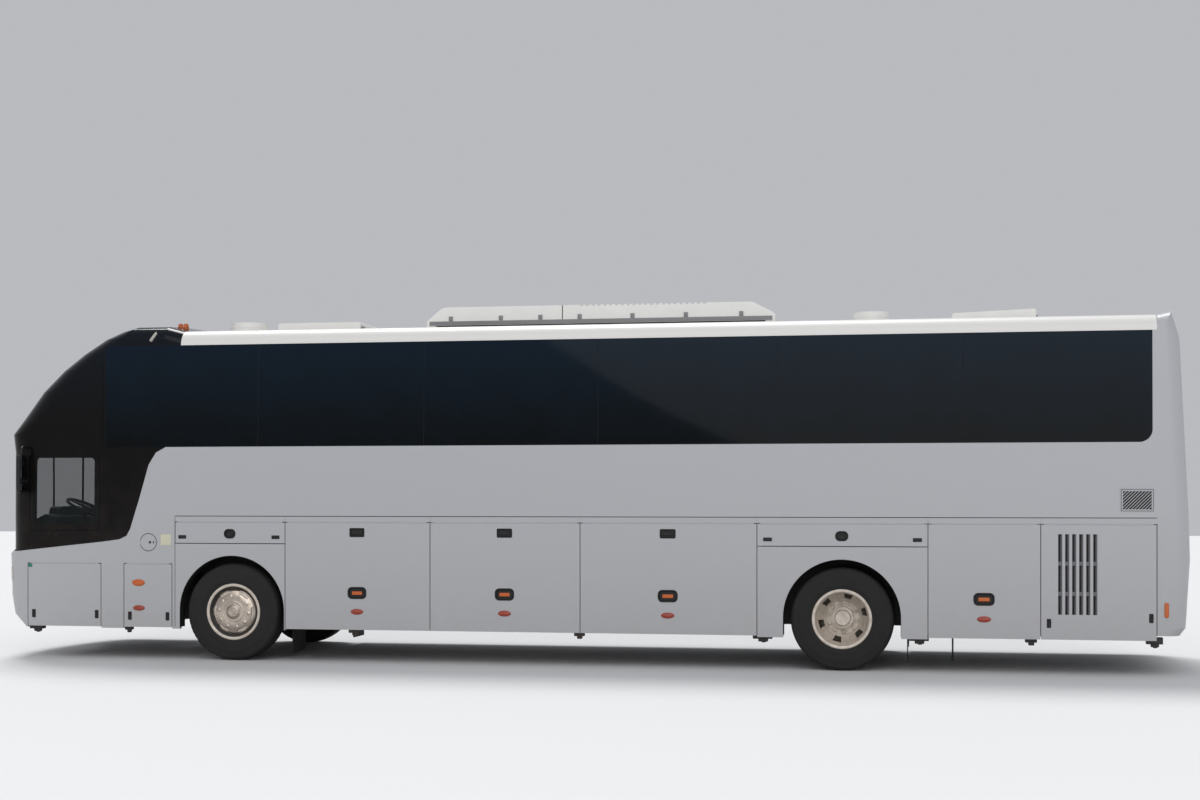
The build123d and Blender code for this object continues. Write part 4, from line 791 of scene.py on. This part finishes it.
# Engine doors: a dark screen behind the louvre slots, a fin in every slot, and bars between their rows
LOUVRE_XS = -4.835 - 0.064 * np.arange(6)
LOUVRE_ROWS = ((0.570, 0.750), (0.785, 1.035), (1.070, 1.330))
screen = side_plate(rounded(0.372, 0.786, 0.02), LOUVRE_XS.mean(), 0.950, edge_rows(-0.0445, -0.038, 0.002))
both_sides("engine_door_screen", Form(screen), black_plastic, "engine_side_door")


def slot_fin(x, low, high):
    """Bent fin in a slot: a strip whose section turns a quarter arc from the skin inwards, along the slot."""
    turn = np.linspace(0.0, pi / 2, 6)
    outer = np.stack([x - 0.019 + 0.020 * np.sin(turn),
                      HALF_WIDTH - 0.001 - 0.030 * (1 - np.cos(turn))], axis=-1)
    section = np.concatenate([outer, outer[::-1] - (0.0, 0.0025)])
    levels = np.array([low, high])[:, None, None] + np.zeros((2, len(section), 1))
    return capped(np.concatenate([np.stack([section, section]), levels], axis=2))


fins = Form(*(slot_fin(x, low, high) for x in LOUVRE_XS for low, high in LOUVRE_ROWS))
both_sides("engine_door_fins", fins, louvre_grey, "engine_side_door")
bars = Form()
for x in LOUVRE_XS:
    for (_, below), (above, _) in zip(LOUVRE_ROWS[:-1], LOUVRE_ROWS[1:]):
        bars.add(side_plate(rounded(0.038, above - below + 0.003, 0.001), x, (above + below) / 2,
                            edge_rows(-0.0004, 0.0008, 0.0004)))
both_sides("engine_door_bars", bars, louvre_grey, "engine_side_door")

# Upper grille: a dark backing, slanted slats and a thin seal on the frame's edge
GRILLE_X = -5.535
GRILLE_Z = 1.6505
GRILLE_Y = side_y(GRILLE_Z) + 0.0050
GRILLE_HALF = (0.1295, 0.0850)
SLAT_PITCH = 0.0305
SLAT_HALF = 0.0056


def on_grille(flat, depth):
    """Points of the upper grille: its face is the upright plane y = GRILLE_Y; depths count outwards."""
    across = flat[..., 0]
    return np.stack([GRILLE_X + across, GRILLE_Y + depth + 0.0 * across, GRILLE_Z + flat[..., 1]], axis=-1)


def slanted_slat(offset):
    """Slat along x + z = offset: its two edges are cut where they meet the grille's rectangle."""
    corners = []
    for line, back in ((offset - SLAT_HALF, False), (offset + SLAT_HALF, True)):
        ends = [min(GRILLE_HALF[0], line + GRILLE_HALF[1]), max(-GRILLE_HALF[0], line - GRILLE_HALF[1])]
        corners += [(x, line - x) for x in (ends[::-1] if back else ends)]
    outline = np.array(corners)
    rows = ((outline, -0.0060), (outline, -0.0030), (outline * 0.999, -0.0024))
    return capped(ring(on_grille, rows))


backing = layers(rounded(0.2595, 0.1705, 0.001), edge_rows(-0.0080, -0.0045, 0.001))
both_sides("upper_grille_backing", Form(on_grille(*backing)), black_rubber)
slats = Form(*(slanted_slat(offset) for offset in np.arange(-6, 7) * SLAT_PITCH))
both_sides("upper_grille_slats", slats, louvre_light)
rows = frame_rows(rounded(0.284, 0.196, 0.004), rounded(0.293, 0.205, 0.004), -0.001, 0.0006)
both_sides("upper_grille_frame", Form(ring(on_grille, rows)), black_rubber)

# Seals between the panes, and the seal in the panels' joint
seals = Form()
for x in (4.820, 3.142, 1.384, -0.396, -2.171, -3.939, -5.676):
    seals.add(side_plate(rounded(0.0046, BAND_TOP_Z - BAND_Z - 0.004, 0.001), x, (BAND_Z + BAND_TOP_Z) / 2,
                         edge_rows(-0.0060, -0.0010, 0.0008)))
both_sides("window_seals", seals, black_rubber)
JOINT_FRONT_X = 4.036
JOINT_REAR_X = -5.712
joint_rows = edge_rows(-0.0045, 0.0004, 0.0004)
level_joint = rounded(JOINT_FRONT_X - JOINT_REAR_X, 0.0072, 0.0005)
panel_joint = Form(side_plate(level_joint, (JOINT_FRONT_X + JOINT_REAR_X) / 2, WAIST_Z, joint_rows),
                   side_plate(rounded(0.0050, 1.128, 0.0005), JOINT_FRONT_X + 0.0007, 0.918, joint_rows))
both_sides("panel_joint_seal", panel_joint, black_rubber)

# Orange marker on each rear corner, and the bare square and the green tab beside the flaps
corner_marker = side_plate(rounded(0.040, 0.142, 0.016), -5.800, 0.622, edge_rows(-0.004, 0.010, 0.006))
both_sides("rear_corner_marker", Form(corner_marker), lens_orange)
thin = edge_rows(-0.0005, 0.0015, 0.001)
piece("bare_square_plate", Form(side_plate(rounded(0.112, 0.112, 0.006), 4.138, 1.238, thin)), plate_sand)
green = Form(side_plate(rounded(0.044, 0.040, 0.004), 5.648, 0.967, thin))
piece("green_tab", green, tab_green, "cab_locker_flap_left")

# Brackets, jack pads and hangers under the skirt: place, length and height of the top
SKIRT_TOP = 0.403
HANGERS = ((-2.022, 0.190, 0.362), (-3.524, 0.185, 0.362), (-4.571, 0.110, SKIRT_TOP), (-5.700, 0.150, 0.362),
           (5.609, 0.150, SKIRT_TOP), (2.126, 0.120, SKIRT_TOP), (-0.20, 0.10, SKIRT_TOP),
           (4.58, 0.07, SKIRT_TOP))
hangers = Form()
for x, length, top in HANGERS:
    half = length / 2
    foot = 0.262 if length > 0.14 else 0.288
    pad = [(foot, 0.0), (foot, 0.020), (foot + 0.012, 0.022), (0.275, 0.016), (0.305, 0.016), (0.305, 0.0)]
    hangers.add(block(x - half, x + half, 1.150, 1.222, 0.298, top, 0.004))
    hangers.add(block(x - half * 0.55, x + half * 0.45, 1.165, 1.210, 0.270, 0.302, 0.006))
    hangers.add(turned(pad, (x - half * 0.1, 1.188, 0.0), 20, "Z"))
both_sides("skirt_hangers", hangers, axle_black)
strap = Form(block(-3.850, -3.834, 1.130, 1.158, 0.130, 0.420, 0.002),
             block(-3.856, -3.828, 1.126, 1.162, 0.112, 0.160, 0.004))
piece("hanging_strap", strap, black_rubber)

# Wheel arches: a thin curled edge and the liner inside it, as distances outwards from the arch and depths y
ARCH_R = 0.565
ARCH_Z = 0.513
ARCH_FOOT_Z = 0.34
LINER = ((-0.0005, 1.2735), (-0.004, 1.272), (-0.004, 1.150), (-0.0005, 1.150), (0.004, 1.150),
         (0.004, 1.224), (-0.0005, 1.2245))


def arch_band(axle_x, section):
    """Band along the wheel arch: straight up the front, half round over the axle and down the rear."""
    out, depth = np.array(section).T
    turn = np.concatenate([np.zeros(5), np.linspace(0.0, pi, 49), np.full(5, pi)])[:, None]
    sides = np.linspace(ARCH_FOOT_Z, ARCH_Z, 6)[:-1]
    base = np.concatenate([sides, np.full(49, ARCH_Z), sides[::-1]])[:, None]
    reach = ARCH_R + out
    return capped(np.stack([axle_x + np.cos(turn) * reach, depth + 0.0 * turn,
                            base + np.sin(turn) * reach], axis=-1))


for end, axle_x in (("front", FRONT_AXLE_X), ("rear", REAR_AXLE_X)):
    both_sides(f"{end}_arch_liner", Form(arch_band(axle_x, LINER)), black_rubber)


# Roof equipment: the air conditioner's trim, seams and fan guards, and the vents' caps

ROOF_TOP = 3.452
AIRCON_TOP = 3.640
AIRCON_FRONT_X = 1.490
AIRCON_REAR_X = -2.110
AIRCON_HALF = 0.760

tabs = Form()
for x in (1.235, 0.705, 0.290, -0.120, -0.665, -1.210, -1.770):
    for y in (AIRCON_HALF + 0.006, -AIRCON_HALF - 0.006):
        tabs.add(block(x - 0.021, x + 0.021, y - 0.040, y + 0.006,
                       AIRCON_TOP - 0.143, AIRCON_TOP - 0.096, 0.004))
piece("air_conditioner_tabs", tabs, band_grey)
strips = Form()
gasket = Form()
for side in (-1.0, 1.0):
    y = side * (AIRCON_HALF + 0.0105)
    strips.add(block(AIRCON_REAR_X + 0.029, AIRCON_FRONT_X - 0.029, y - 0.001, y + 0.001, ROOF_TOP,
                     AIRCON_TOP - 0.146, 0.0009))
    y = side * (AIRCON_HALF + 0.004)
    gasket.add(block(AIRCON_REAR_X + 0.10, AIRCON_FRONT_X - 0.10, y - 0.006, y + 0.006, ROOF_TOP - 0.028,
                     AIRCON_TOP - 0.186, 0.004))
piece("air_conditioner_band", strips, band_grey)
seam = block(0.056, 0.064, -AIRCON_HALF - 0.002, AIRCON_HALF + 0.002,
             ROOF_TOP + 0.02, AIRCON_TOP - 0.0006, 0.0005)
piece("air_conditioner_gasket", gasket.add(seam), black_rubber)

GUARD_R = 0.21
GUARD_Z = AIRCON_TOP - 0.0032
WIRE_R = 0.003


def fan_guard(x, y):
    """Round fan opening: rings of wire, crossed by spokes."""
    form = Form()
    turn = np.append(circle(8), 0.0)
    for share in (1.0, 0.78, 0.56, 0.34, 0.14):
        wire = np.stack([WIRE_R * np.sin(turn) + GUARD_Z, GUARD_R * share + WIRE_R * np.cos(turn)], axis=-1)
        form.add(turned(wire, (x, y, 0.0), 48, "Z"))
    for angle in circle(8):
        spoke = [(x, y, GUARD_Z), (x + GUARD_R * cos(angle), y + GUARD_R * sin(angle), GUARD_Z)]
        form.add(tube(spoke, WIRE_R, 6))
    return form


guards = Form()
for x, y in ((1.05, -0.36), (1.05, 0.36), (0.45, -0.36), (0.45, 0.36)):
    guards.join(fan_guard(x, y))
piece("air_conditioner_guards", guards, black_plastic)


def vent_cap(x, radius, top):
    """Round vent cap: a domed cap over a ribbed neck; its radius follows the profile, scalloped low down."""
    profile = np.array([(ROOF_TOP - 0.006, 0.93), (ROOF_TOP + 0.030, 0.93), (top - 0.062, 0.95),
                        (top - 0.055, 1.0), (top - 0.034, 1.0), (top - 0.016, 0.94), (top - 0.006, 0.80),
                        (top - 0.001, 0.55), (top, 0.25), (top, 0.0)])
    along, share = profile.T[:, :, None]
    angle = circle(96)
    ribs = 1.0 - 0.035 * (share < 0.955) * (along < top - 0.05) * (0.5 + 0.5 * np.cos(24 * angle))
    return spun("Z", along, radius * share * ribs, angle, (x, 0.0, 0.0))


piece("roof_vent_caps", Form(vent_cap(3.722, 0.203, 3.5835), vent_cap(-3.040, 0.183, 3.5805)), roof_white)


# Cap lamps: the slanting marker on each front roof edge and the orange pairs on top

def curved_plate(outline, x, z, node, rows, tilt=0.0):
    """Plate laid on a curved node's left side, in the tangent plane at x, z, depths along the normal."""
    where, normal = meets(node, (x, 0.0, z), (0, 1, 0))
    flat, depth = layers(outline, rows)
    normal = normal / np.linalg.norm(normal) * (1.0 if normal[1] > 0 else -1.0)
    along = np.cross((0.0, 0.0, 1.0), normal)
    along /= -np.linalg.norm(along)
    up = np.cross(along, normal)
    up *= 1.0 if up[2] > 0 else -1.0
    c, s = cos(radians(tilt)), sin(radians(tilt))
    first, second = c * flat[..., 0] - s * flat[..., 1], s * flat[..., 0] + c * flat[..., 1]
    return where + first[..., None] * along + second[..., None] * up + depth[..., None] * normal


CAP_ROWS = [(0.0, -0.010), (0.0, 0.004), (0.003, 0.010), (0.010, 0.014)]
cap_marker = curved_plate(rounded(0.030, 0.112, 0.012), 4.292, 3.340, "front_mask", CAP_ROWS, 32.0)
both_sides("cap_marker_lamp", Form(cap_marker), lens_milky)
BEACON_X = 4.150
BEACON_Y = 0.800
foot = meets("front_mask", (BEACON_X, BEACON_Y, 0.0), (0, 0, 1))[0][2]
beacon = Form(level_plate(rounded(0.120, 0.062, 0.028), BEACON_X, BEACON_Y,
                          [(0.0, foot - 0.020), (0.0, foot + 0.010), (0.004, foot + 0.014)]))
DOME = ((0.0, 0.0), (0.0, 0.026), (0.030, 0.026), (0.044, 0.019), (0.050, 0.0))
for step in (-0.030, 0.030):
    beacon.add(turned(DOME, (BEACON_X + step, BEACON_Y, foot), 32, "Z"))
both_sides("cap_orange_lamp", beacon, lens_orange)


# Headlamps: bowls behind the clear covers; tail lamps in bands

def copied(name, finish, end):
    """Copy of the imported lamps' triangles on one end of the coach, merged, as the scene's own piece."""
    source = frame["nodes"]["lamps"].data
    points = np.array([tuple(v.co) for v in source.vertices])
    corners = np.array([tuple(p.vertices) for p in source.polygons])
    corners = corners[end * points[corners].mean(axis=1)[:, 0] > 0]
    used, index = np.unique(corners, return_inverse=True)
    mesh = bpy.data.meshes.new(name)
    mesh.from_pydata(points[used].tolist(), [], index.reshape(-1, 3).tolist())
    dressed(mesh, finish, "body", ["lamps"], 30.0, 0.00001, outwards=False)


copied("headlamp_covers", clear_glass, 1.0)
copied("tail_lamp_lenses", lens_banded, -1.0)
LAMP_Z = 0.81


def bowl(y, radius, lean):
    """Reflector bowl facing forward, turned outwards by lean degrees: depth is the square of the distance."""
    share = np.linspace(0.0, 1.0, 10)
    back = [(0.018, radius * 1.08), (0.012, radius * 1.10), (-0.002, 0.0)]
    grid = turned([*zip(0.018 * share ** 2, radius * share), *back], (0.0, 0.0, 0.0), 48, "X")
    c, s = cos(radians(lean)), sin(radians(lean))
    x, across, up = np.moveaxis(grid, -1, 0)
    where = (front_x("lamps", y, LAMP_Z) - 0.027, y, LAMP_Z)
    return np.stack([c * x - s * across, s * x + c * across, up], axis=-1) + np.array(where)


bowls = Form(bowl(0.66, 0.072, 3.0), bowl(0.83, 0.078, 7.0), bowl(0.99, 0.062, 20.0))
both_sides("headlamp_bowls", bowls, chrome)


# Seats: padded cushions and backs in pairs, each on a plain base, and the driver's seat

DECK_TOP = 1.420
CAB_FLOOR_TOP = 0.950
SEAT_PITCH = 0.760
SEAT_ROWS = 12
SEAT_FIRST_X = 3.480
SEAT_MIDDLES = (0.505, 0.935)
SEAT_AISLE_Y = 0.290
SEAT_WALL_Y = 1.150
PAD_THICK = 0.105
SEAM_PLACE = 0.45
SEAM_WIDTH = 0.035
SEAM_DEPTH = 0.20
DRIVER_X = 4.800
DRIVER_Y = 0.620


def cushion(path, middle_y, half_width):
    """Crowned closed pad along a path in the XZ plane.

    Across the pad each section is a superellipse of half_width by half the thickness. Both shrink towards
    the ends of the path as (1 - s^8)^(1/3), so that the pad closes, and two sewn channels pinch it by a
    narrow bell curve.
    """
    path = np.array(path, dtype=float)
    length = np.concatenate([[0.0], np.cumsum(np.linalg.norm(np.diff(path, axis=0), axis=1))])
    reach = np.linspace(-1.0, 1.0, 33)
    where = (0.5 + 0.5 * reach) * length[-1]
    line = np.stack([np.interp(where, length, column) for column in path.T], axis=-1)
    for _ in range(3):
        line[1:-1] = (line[:-2] + 2 * line[1:-1] + line[2:]) / 4
    ahead = np.gradient(line, axis=0)
    ahead /= np.linalg.norm(ahead, axis=1, keepdims=True)
    angle = circle(28)
    c, s = np.cos(angle), np.sin(angle)
    side = np.sign(c) * np.abs(c) ** (2 / 4.0)
    face = np.sign(s) * np.abs(s) ** (2 / 2.6)
    close = np.clip(1.0 - np.abs(reach) ** 8, 0.0, 1.0)[:, None] ** (1 / 3)
    sewn = 1.0 - SEAM_DEPTH * np.exp(-((np.abs(reach[:, None]) - SEAM_PLACE) / SEAM_WIDTH) ** 2)
    puff = PAD_THICK / 2 * close * sewn * face * (1.0 - 0.16 * side ** 2)
    wide = half_width * (0.90 + 0.10 * close) * close ** 0.4 * side
    return np.stack([line[:, :1] - ahead[:, 1:] * puff, middle_y + wide,
                     line[:, 1:] + ahead[:, :1] * puff], axis=-1)


def seat_pads(name, x, middle_y, half_width, floor):
    """Cushion and back of one seat, in the space of its solid."""
    paths = {"cushion": ((0.000, 0.385), (0.200, 0.392), (0.430, 0.405)),
             "back": ((-0.020, 0.400), (-0.105, 0.640), (-0.165, 0.880), (-0.232, 1.112))}
    for kind, path in paths.items():
        form = Form(cushion([(x + ahead, floor + up) for ahead, up in path], middle_y, half_width))
        piece(name.format(kind), form, seat_cloth, crease=70.0)


def seat_base(x, y_low, y_high, floor):
    """Pedestal, seat pan and side arms of one pair."""
    form = Form(block(x - 0.045, x + 0.130, y_low + 0.06, y_high - 0.06, floor + 0.001, floor + 0.330, 0.020),
                block(x - 0.050, x + 0.400, y_low + 0.012, y_high - 0.012,
                      floor + 0.300, floor + 0.345, 0.012))
    for y in (y_low + 0.014, y_high - 0.014):
        arm = [(x - 0.075, y, floor + 0.330), (x - 0.085, y, floor + 0.585), (x + 0.190, y, floor + 0.610)]
        form.add(tube(bent(arm, 0.05), 0.012))
    return form


seat_frames = Form()
for side_name, side in (("left", 1.0), ("right", -1.0)):
    for row in range(SEAT_ROWS):
        x = SEAT_FIRST_X - SEAT_PITCH * row
        seat_frames.join(seat_base(x, *sorted((side * SEAT_AISLE_Y, side * SEAT_WALL_Y)), DECK_TOP))
        for place, middle in enumerate(SEAT_MIDDLES):
            name = f"seat_{{}}_{side_name}_{row + 1}_{place + 1}"
            seat_pads(name, x, side * middle, 0.208, DECK_TOP)
seat_frames.join(seat_base(DRIVER_X, DRIVER_Y - 0.235, DRIVER_Y + 0.235, CAB_FLOOR_TOP))
seat_pads("driver_seat_{}", DRIVER_X, DRIVER_Y, 0.225, CAB_FLOOR_TOP)
piece("seat_frames", seat_frames, black_plastic, replaces=["seats"])

# Mirrors: a moulded head on its arm, with two panes of glass in its rear face
MIRROR_X = 5.692
MIRROR_Y = 1.380
MIRROR_LOW = 1.710
MIRROR_HIGH = 2.130
ARM_Z = 2.200


def mirror_head():
    """Head: superellipse sections stacked up its height, shrunk at both ends as (1 - s^10)^(1/4)."""
    share = np.linspace(-1.0, 1.0, 25)[:, None]
    angle = circle(48)
    c, s = np.cos(angle), np.sin(angle)
    close = np.clip(1.0 - np.abs(share) ** 10, 0.0, 1.0) ** 0.25
    x = MIRROR_X - 0.004 + close * (0.036 + 0.008 * c) * np.sign(c) * np.abs(c) ** (1 - 0.35 * (c < 0))
    y = MIRROR_Y + close * 0.086 * np.sign(s) * np.abs(s) ** 0.7
    z = (MIRROR_LOW + MIRROR_HIGH) / 2 + (MIRROR_HIGH - MIRROR_LOW) / 2 * share + 0.0 * x
    return np.stack([x, y, z], axis=-1)


arm = bent([(MIRROR_X + 0.005, 1.215, ARM_Z), (MIRROR_X, MIRROR_Y, ARM_Z), (MIRROR_X, MIRROR_Y, 2.110)],
           0.05, 8)
socket = turned([(1.196, 0.0), (1.196, 0.034), (1.222, 0.030), (1.240, 0.019), (1.240, 0.0)],
                (MIRROR_X + 0.005, 0.0, ARM_Z), 32)
heads = Form(mirror_head(), tube(arm, 0.016, 16), socket)
piece("mirror_heads", heads.join(heads.mirrored()), black_plastic, replaces=["mirrors"])
GLASS_ROWS = ((0.0, MIRROR_X - 0.010), (0.001, MIRROR_X - 0.0335), (0.003, MIRROR_X - 0.0345))
panes = Form(*(end_plate(rounded(0.132, height, 0.020), y, z, GLASS_ROWS)
               for y in (MIRROR_Y, -MIRROR_Y) for height, z in ((0.250, 1.985), (0.088, 1.785))))
# the panes carry a painted dark reflection
piece("mirror_glasses", panes, mirror_dark_reflection)

# Cab: instrument hood, screen, two stalks, and the rails by the far door
DASH_Z = 1.500
hood = end_plate(rounded(0.52, 0.16, 0.07, 8), DRIVER_Y, DASH_Z, [(0.0, 5.520), (0.0, 5.640), (0.006, 5.646)])
display = end_plate(rounded(0.24, 0.15, 0.02), 0.16, DASH_Z, [(0.0, 5.520), (0.0, 5.548), (0.004, 5.552)])
stalks = [tube(bent([(5.300, DRIVER_Y + side * 0.03, DASH_Z), (5.315, DRIVER_Y + side * 0.12, DASH_Z + 0.020),
                     (5.300, DRIVER_Y + side * 0.20, DASH_Z + 0.045)], 0.03), 0.006, 8) for side in (1, -1)]
piece("cab_instruments", Form(hood, display, *stalks), black_plastic)
door_rails = Form()
for x in (5.10, 5.33, 5.52):
    rail = [(x, -1.150, 0.95), (x, -1.120, 1.00), (x, -1.120, 2.02), (x, -1.150, 2.07)]
    door_rails.add(tube(bent(rail, 0.02), 0.014, 12))
piece("entrance_door_rails", door_rails, black_plastic)


# Front: divider and wiper arms on the windscreen, and a small lamp on each bumper corner

ridge = [(front_x("windscreen", 0.0, z), z) for z in np.linspace(1.225, 3.075, 38)]
ridge_x, ridge_z = np.array([pair for pair in ridge if pair[0] is not None]).T[:, :, None]
section = np.array([(-0.004, -0.017), (0.002, -0.017), (0.003, -0.012), (0.003, 0.012), (0.002, 0.017),
                    (-0.004, 0.017)]).T
divider = np.stack([ridge_x + section[0], section[1] + 0.0 * ridge_x, ridge_z + 0.0 * section[0]], axis=-1)
piece("windscreen_divider", Form(divider), black_rubber)

WIPER_Z = 1.165
arms = Form()
for pivot_y, blade_y in ((0.30, 0.62), (-0.62, -0.30)):
    hub_x = front_x("front_mask", pivot_y, WIPER_Z) + 0.012
    points = [(hub_x, pivot_y, WIPER_Z)]
    for share in (0.35, 0.7, 1.0):
        y, z = pivot_y + (blade_y - pivot_y) * share, WIPER_Z + 0.086 * share
        points.append((front_x("windscreen" if z > 1.215 else "front_mask", y, z) + 0.012, y, z))
    arms.add(tube(points, 0.008, 10))
    arms.add(turned([(-0.020, 0.0), (-0.020, 0.024), (0.010, 0.022), (0.014, 0.012), (0.014, 0.0)],
                    (hub_x, pivot_y, WIPER_Z), 28, "X"))
piece("wiper_arms", arms, black_plastic)

corner_rows = [(0.0, -0.012), (0.0, 0.0015), (0.002, 0.004), (0.008, 0.006)]
corner_lens = curved_plate(rounded(0.070, 0.150, 0.030), 5.905, 0.875, "front_bumper", corner_rows)
both_sides("bumper_corner_lens", Form(corner_lens), lens_milky)

# Rear: window seal, high stop lamp with the low reflectors, and the lid's pull
REAR_LINE = ((0.320, 5.960), (0.450, 6.060), (1.090, 6.100), (1.484, 6.090), (3.180, 6.005), (3.482, 5.950))
BOW_Z = 2.000
REAR_WINDOW_Z = 2.660
bow_y = np.linspace(0.0, 1.12, 29)
bow_x = np.array([meets("rear_wall", (0.0, y, BOW_Z), (-1, 0, 0))[0][0] for y in bow_y])


def on_rear(flat, depth, y, z):
    """Points on the rear face about y, z; depths count outwards from it.

    The face stands behind the coach's middle by the tail's line at each height, less the wall's bow
    across it.
    """
    across, up = y + flat[..., 0], z + flat[..., 1]
    heights, tail = np.array(REAR_LINE).T
    face = np.interp(up, heights, tail) - np.interp(np.abs(across), bow_y, bow_x - bow_x[0])
    return np.stack([-(face + depth), across, up], axis=-1)


def rear_plate(outline, y, z, rows):
    """Plate on the rear face."""
    return on_rear(*layers(outline, rows), y, z)


inner, outer = rounded(1.900, 0.780, 0.085, 8), rounded(1.932, 0.812, 0.101, 8)
rows = ((inner, -0.004), (inner, 0.00245), ((inner + outer) / 2, 0.0035), (outer, 0.00245), (outer, -0.004),
        (inner, -0.004))
piece("rear_window_seal", Form(ring(on_rear, rows, 0.0, REAR_WINDOW_Z)), black_rubber)
stop_lamp = Form(rear_plate(rounded(0.420, 0.034, 0.012), 0.0, 3.160, edge_rows(-0.004, 0.009, 0.005)))
for y in (-0.985, 0.985):
    stop_lamp.add(rear_plate(rounded(0.120, 0.050, 0.010), y, 0.560, edge_rows(-0.004, 0.0035, 0.003)))
piece("rear_stop_lamp", stop_lamp, lens_red)
pull_rows = [(0.0, -0.002), (0.0, 0.004), (0.002, 0.007), (0.007, 0.007), (0.011, 0.002)]
lid_pull = Form(rear_plate(rounded(0.180, 0.052, 0.014), 0.0, 0.665, pull_rows))
piece("engine_lid_pull", lid_pull, black_plastic, "engine_lid")

# Black border of the cab's side panes, with the sliding sash's bar
PANE_X = 5.265
PANE_Z = 1.745
rows = frame_rows(rounded(0.668, 0.688, 0.042, 8), rounded(0.772, 0.812, 0.042, 8), -0.002, 0.0007)
borders = Form(ring(on_side, rows, PANE_X, PANE_Z),
               side_plate(rounded(0.022, 0.690, 0.004), PANE_X - 0.205, PANE_Z,
                          edge_rows(-0.002, 0.0025, 0.002)))
both_sides("cab_pane_border", borders, gloss_black)

# Right side: the entrance door's pull and its key lock
pull_rows = [(0.0, -0.002), (0.0, 0.003), (0.0015, 0.005), (0.006, 0.005), (0.010, 0.001)]
door_pull = Form(side_plate(rounded(0.050, 0.150, 0.020), 4.935, 1.080, pull_rows),
                 side_plate(oval(0.026, 0.026, 24), 4.935, 0.960, edge_rows(-0.002, 0.004, 0.002)))
piece("entrance_door_pull", door_pull.mirrored(), black_plastic)

# Roof hatches: two hinges on each
fittings = Form()
for rear_x, top in ((2.350, ROOF_TOP + 0.099), (-4.674, ROOF_TOP + 0.095)):
    for y in (-0.25, 0.25):
        fittings.add(block(rear_x - 0.020, rear_x + 0.014, y - 0.045, y + 0.045,
                           top - 0.070, top - 0.045, 0.005))
piece("roof_hatch_hinges", fittings, band_grey)


# Stage: floor, light and camera

FLOOR_HALF = 60.0
floor_finish = Finish("studio_floor", (0.70, 0.70, 0.70), 0.75)
floor_finish.feed("Roughness", 0.75 + 0.08 * floor_finish.noise(0.8, 3.0))
floor_mesh = bpy.data.meshes.new("studio_floor")
floor_corners = ((-1, -1), (1, -1), (1, 1), (-1, 1))
floor_mesh.from_pydata([(FLOOR_HALF * x, FLOOR_HALF * y, 0.0) for x, y in floor_corners], [], [(0, 1, 2, 3)])
floor_mesh.materials.append(floor_finish.material)
studio_floor = bpy.data.objects.new("studio_floor", floor_mesh)
bpy.context.scene.collection.objects.link(studio_floor)

world = bpy.data.worlds.new("studio")
world.use_nodes = True
world.node_tree.nodes["Background"].inputs["Color"].default_value = (0.93, 0.95, 1.0, 1.0)
world.node_tree.nodes["Background"].inputs["Strength"].default_value = 0.52
bpy.context.scene.world = world


def lamp(name, energy, angle, turn):
    """A soft distant lamp: its angular size and its turn from straight down, in degrees."""
    data = bpy.data.lights.new(name, "SUN")
    data.energy = energy
    data.angle = radians(angle)
    holder = bpy.data.objects.new(name, data)
    holder.rotation_euler = tuple(radians(a) for a in turn)
    bpy.context.scene.collection.objects.link(holder)


lamp("key", 2.1, 25.0, (26.0, 14.0, 0.0))
lamp("fill", 1.0, 60.0, (-58.0, -12.0, 0.0))

camera_data = bpy.data.cameras.new("camera")
camera_data.sensor_width = SENSOR
camera_data.lens = FOCAL_PIXELS / PICTURE_WIDTH * SENSOR
camera_data.shift_y = HORIZON_DROP / PICTURE_WIDTH
camera_data.clip_end = 300.0
camera = bpy.data.objects.new("camera", camera_data)
camera.location = CAMERA_AT
camera.rotation_euler = (radians(90.0), 0.0, radians(180.0 + CAMERA_TURN))
bpy.context.scene.collection.objects.link(camera)
bpy.context.scene.camera = camera
bpy.context.scene.view_settings.view_transform = "Standard"
